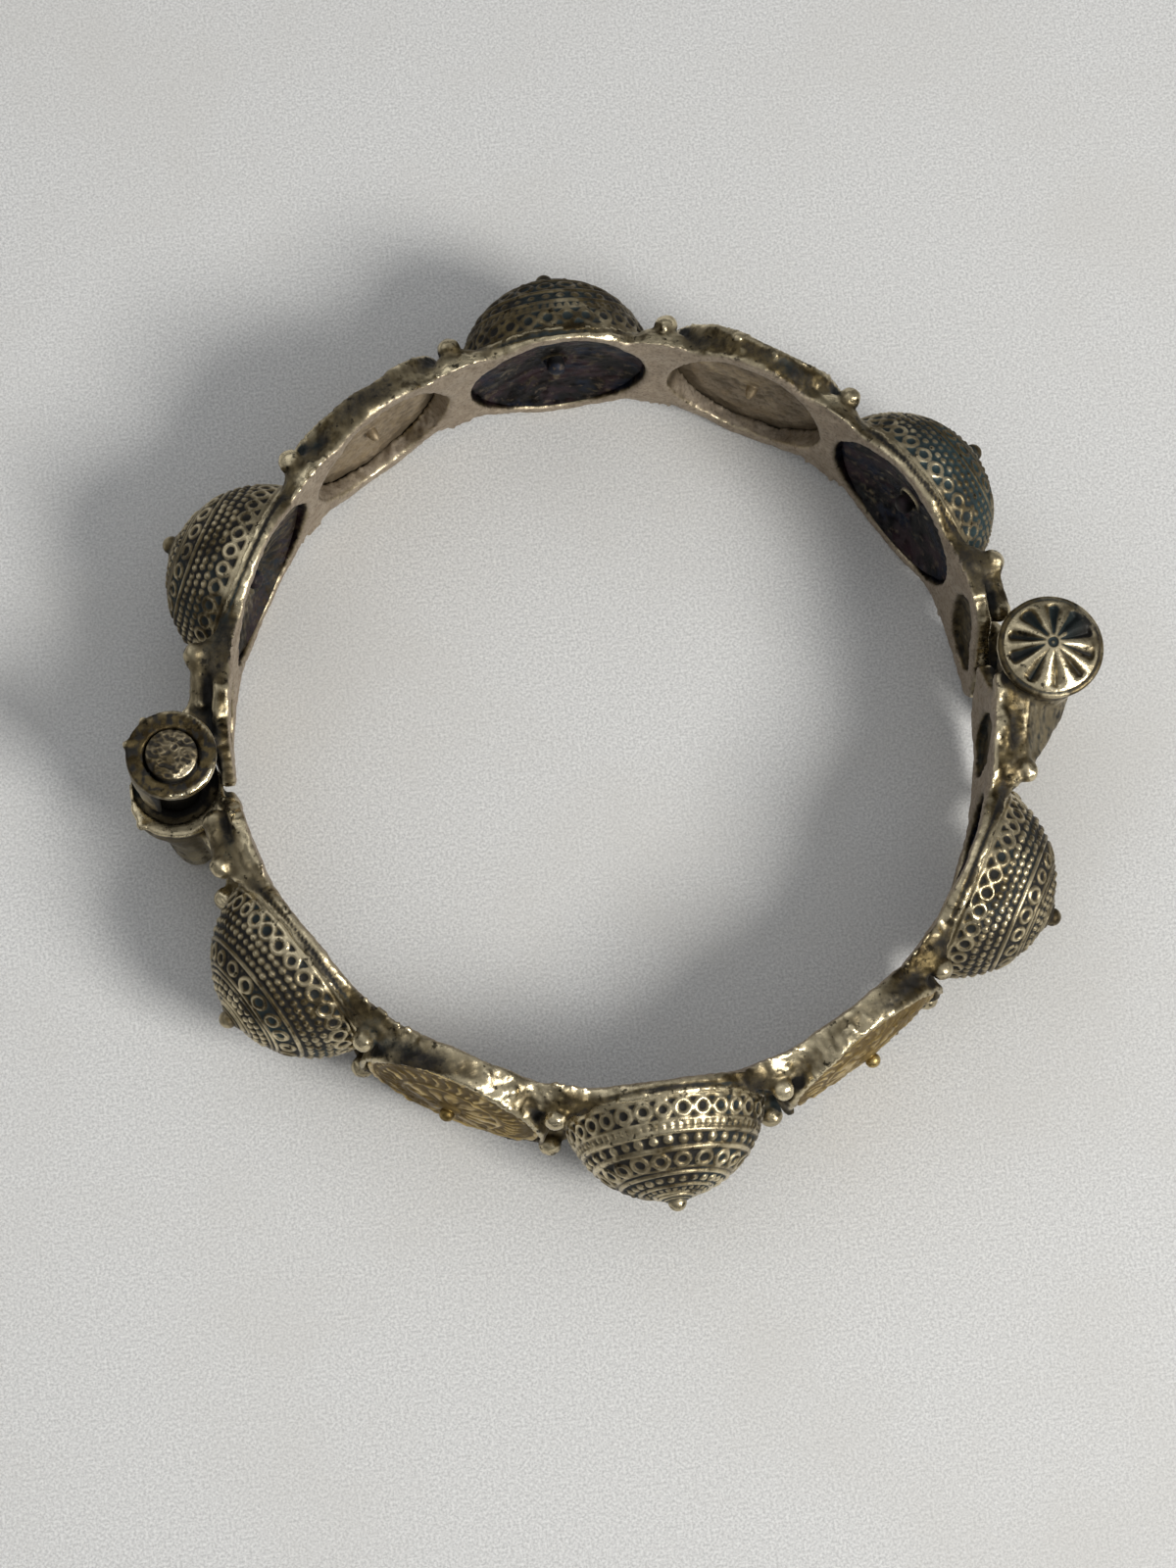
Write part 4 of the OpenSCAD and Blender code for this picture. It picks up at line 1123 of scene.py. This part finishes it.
def clasp_pin():
    nph = 216
    phi = np.linspace(0, 2 * np.pi, nph, endpoint=False)
    rows, cav = [], []

    def add(r, zz, c):
        rows.append((r, zz))
        cav.append(c)

    for zz, r in ((0.62, 1.35), (0.75, 1.6), (1.1, 1.7)):
        add(r, zz, 0.5)
    # slightly uneven shank
    for zz in np.linspace(1.6, 16.1, 22):
        add(1.69 + 0.012 * np.sin(2 * phi + zz), zz, 0.55)
    add(1.7, 16.24, 0.3)
    # thick rounded rim, then a dome cut by uneven wedge-shaped flutes
    for r, zz, c in ((3.6, 16.30, 0.1), (3.92, 16.31, 0.3), (4.08, 16.39, 0.5), (4.18, 16.52, 0.6), (4.22, 16.68, 0.65), (4.20, 16.83, 0.65),
                     (4.12, 16.93, 0.6), (4.00, 16.98, 0.5), (3.88, 16.99, 0.35), (3.80, 17.00, 0.4)):
        add(r, zz, c)
    angles = np.radians([14, 44, 76, 119.5, 158.6, 189.5, 230, 267, 306, 339])
    # how dark each flute is: dirt in the groove and painted shade, less on the side towards the light
    flute_dirt_and_shade = np.array([1.0, 1.0, 0.85, 1.0, 0.6, 1.0, 0.45, 0.35, 0.5, 0.7])
    du = (phi[:, None] - angles[None, :] + np.pi) % (2 * np.pi) - np.pi
    near = np.abs(du).argmin(1)
    side = np.where(du[np.arange(nph), near] >= 0, 1, -1)
    gap = ((angles[(near + side) % 10] - angles[near]) * side) % (2 * np.pi)
    # 0 in the middle of a flute, 1 on the crest between two
    t = np.abs(du[np.arange(nph), near]) / (gap / 2)
    wedge = np.array([1.1, 1.3, 1.2, 1.0, 0.9, 1.0, 0.7, 0.5, 0.45, 0.6])
    crest = np.sin(np.pi / 2 * np.clip(t * 1.05, 0, 1)) ** wedge[near]
    dirt_and_shade_here = flute_dirt_and_shade[near]
    # one side of the cap is made near black
    black = np.exp(-(((phi - 0.52 + np.pi) % (2 * np.pi) - np.pi) / 0.42) ** 2)
    for r in np.concatenate([np.linspace(3.72, 0.92, 38), np.linspace(0.84, 0.50, 5)]):
        base = 17.02 + 1.18 * (1 - (r / 3.78) ** 1.6)
        reach = smooth(np.array(r), 3.62, 3.15)
        depth = 0.60 * smooth(np.array(r), 0.55, 2.3) * reach
        cut = depth * (1 - crest)
        fade = (1 - crest) * reach * smooth(np.array(r), 0.5, 0.9)
        add(np.full(nph, r), base - cut, np.clip(0.98 - (0.25 + 1.15 * dirt_and_shade_here) * fade ** 0.9, 0, 1) * (1 - 0.8 * black * smooth(np.array(r), 0.9, 1.6)))
    for r, zz, c in ((0.44, 18.14, 0.5), (0.36, 18.06, 0.2), (0.26, 18.02, 0.1), (0.14, 18.06, 0.3), (0.05, 18.10, 0.6)):
        add(r, zz, c)
    turned("clasp_pin_fluted", rows, nph, (JOINT_X, 0.0), SILVER, "clasp_pin", "clasp_pin", cav, tone=0.0)


def hinge_pin():
    nph = 120
    phi = np.linspace(0, 2 * np.pi, nph, endpoint=False)
    n1 = Waves(77, 30, 0.45, 1.5)
    rows, cav = [], []
    for zz, r in ((0.5, 1.7), (0.6, 1.86), (1.0, 1.9)):
        rows.append((r, zz))
        cav.append(0.5)
    for zz in np.linspace(2.0, 14.6, 12):
        rows.append((1.9, zz))
        cav.append(0.02)
    for zz, r in ((15.2, 1.95), (15.6, 2.03), (15.85, 2.05)):
        rows.append((r, zz))
        cav.append(0.3)
    for r in np.concatenate([[2.0, 1.9, 1.82], np.linspace(1.75, 0.12, 22)]):
        q = np.stack([r * np.cos(phi), r * np.sin(phi), 0 * phi], 1).astype(F32)
        nz = 1 - np.abs(n1(q))
        # the upper edge runs into the crust round it, the lower one falls away
        drop = 0.05 + 0.13 * smooth(np.sin(phi), 0.5, -0.3)
        zz = 16.13 - drop * smooth(np.array(r), 1.6, 2.05) + 0.075 * nz
        # flat filed towards one side
        facet = (0.55 * q[:, 0] - 0.83 * q[:, 1]) - 1.48
        zz = np.where(facet > 0, np.minimum(zz, 16.06 - 0.30 * facet), zz)
        rows.append((np.full(nph, r), np.minimum(zz, 16.3)))
        cav.append(np.where(facet > 0, 0.70, np.clip(0.36 + 0.34 * nz, 0, 1)))
    turned("hinge_pin_end", rows, nph, (-JOINT_X, 0.0), PIN, "front_half", "hinge_pin", cav, tone=0.25)


# ---------------------------------------------------------------- build
half_piece("back_casting", 11, "back")
half_piece("front_casting", 31, "front")
NAMES = {1: "dome", 2: "dome", 0: "coin"}
PLACE = {0: "left", 1: "left", 2: "middle", 3: "right", 4: "right"}
# mean tone, its spread, how black the painted shade of the hollow side is, its streaks, and how much painted shade
# darkens the outside
DOME_TONES = {("back", "left"): (0.45, 0.25, 0.62, 1.0, 0.0), ("back", "middle"): (0.75, 0.30, 0.95, 0.0, 0.34), ("back", "right"): (-0.55, 0.35, 1.0, 0.0, 0.31),
              ("front", "left"): (-0.02, 0.40, 0.9, 0.3, 0.0), ("front", "middle"): (-0.02, 0.32, 0.9, 0.3, 0.0), ("front", "right"): (0.15, 0.20, 0.9, 0.3, 0.0)}
for which, flip in (("back", False), ("front", True)):
    for i, (ua, kind) in enumerate(UNITS):
        place = PLACE[i]
        if flip:
            place = {"left": "right", "right": "left", "middle": "middle"}[place]
        body = which + "_half"
        seed = 100 + 20 * i + (300 if flip else 0)
        if kind:
            dome_cap(f"dome_{which}_{place}", ua, kind, seed, body, flip, *DOME_TONES[(which, place)])
        else:
            coin_piece(f"coin_{which}_{place}_struck", f"coin_{which}_{place}", ua, seed, body, flip)
clasp_pin()
hinge_pin()


# ---------------------------------------------------------------- floor and light
def floor():
    me = bpy.data.meshes.new("floor")
    s = 0.9
    me.from_pydata([(-s, -s, 0), (s, -s, 0), (s, s, 0), (-s, s, 0)], [], [(0, 1, 2, 3)])
    ob = bpy.data.objects.new("floor", me)
    bpy.context.scene.collection.objects.link(ob)
    m, nt, bsdf = nodes_of("pale_surface")
    g = Graph(nt)
    big, fine = g.noise(38, 5, 0.6), g.noise(4600, 2, 0.7)
    col = g.mix(g.ramp(fine, 0.25, 0.75), (0.53, 0.53, 0.525), (0.84, 0.84, 0.825))
    col = g.mix(g.ramp(big, 0.42, 0.70, 0.0, 0.40), col, (0.63, 0.615, 0.58))
    g.put(bsdf.inputs["Base Color"], col)
    bsdf.inputs["Roughness"].default_value = 0.85
    bsdf.inputs["Specular IOR Level"].default_value = 0.2
    g.put(bsdf.inputs["Normal"], g.bump(fine, 0.3, 0.00012))
    me.materials.append(m)


def area(name, pos, target, size, power, colour):
    li = bpy.data.lights.new(name, "AREA")
    li.shape = "RECTANGLE"
    li.size, li.size_y = size
    li.energy = power
    li.color = colour
    ob = bpy.data.objects.new(name, li)
    bpy.context.scene.collection.objects.link(ob)
    ob.location = pos
    ob.rotation_euler = (Vector(target) - Vector(pos)).to_track_quat("-Z", "Y").to_euler()


floor()
area("key", (0.42, -0.38, 0.50), (0, 0, 0), (0.26, 0.26), 4.5, (1.0, 0.98, 0.94))
area("fill", (-0.5, 0.5, 0.7), (0, 0, 0), (0.7, 0.7), 0.8, (0.95, 0.97, 1.0))
world = bpy.data.worlds.new("studio")
bpy.context.scene.world = world
world.use_nodes = True
bg = world.node_tree.nodes["Background"]
# lighter overhead than near the horizon
wn = world.node_tree.nodes
direction = wn.new("ShaderNodeTexCoord")
split = wn.new("ShaderNodeSeparateXYZ")
level = wn.new("ShaderNodeMapRange")
level.inputs["From Min"].default_value = 0.10
level.inputs["From Max"].default_value = 0.95
level.inputs["To Min"].default_value = 0.12
level.inputs["To Max"].default_value = 0.50
world.node_tree.links.new(direction.outputs["Generated"], split.inputs["Vector"])
world.node_tree.links.new(split.outputs["Z"], level.inputs["Value"])
world.node_tree.links.new(level.outputs["Result"], bg.inputs["Strength"])
bg.inputs["Color"].default_value = (0.97, 0.98, 1.0, 1.0)
bpy.context.scene.view_settings.view_transform = "Standard"

counts = {o.name: sum(len(p.vertices) - 2 for p in o.data.polygons) for o in bpy.data.objects if o.type == "MESH"}
print("triangles", counts, "total", sum(counts.values()))
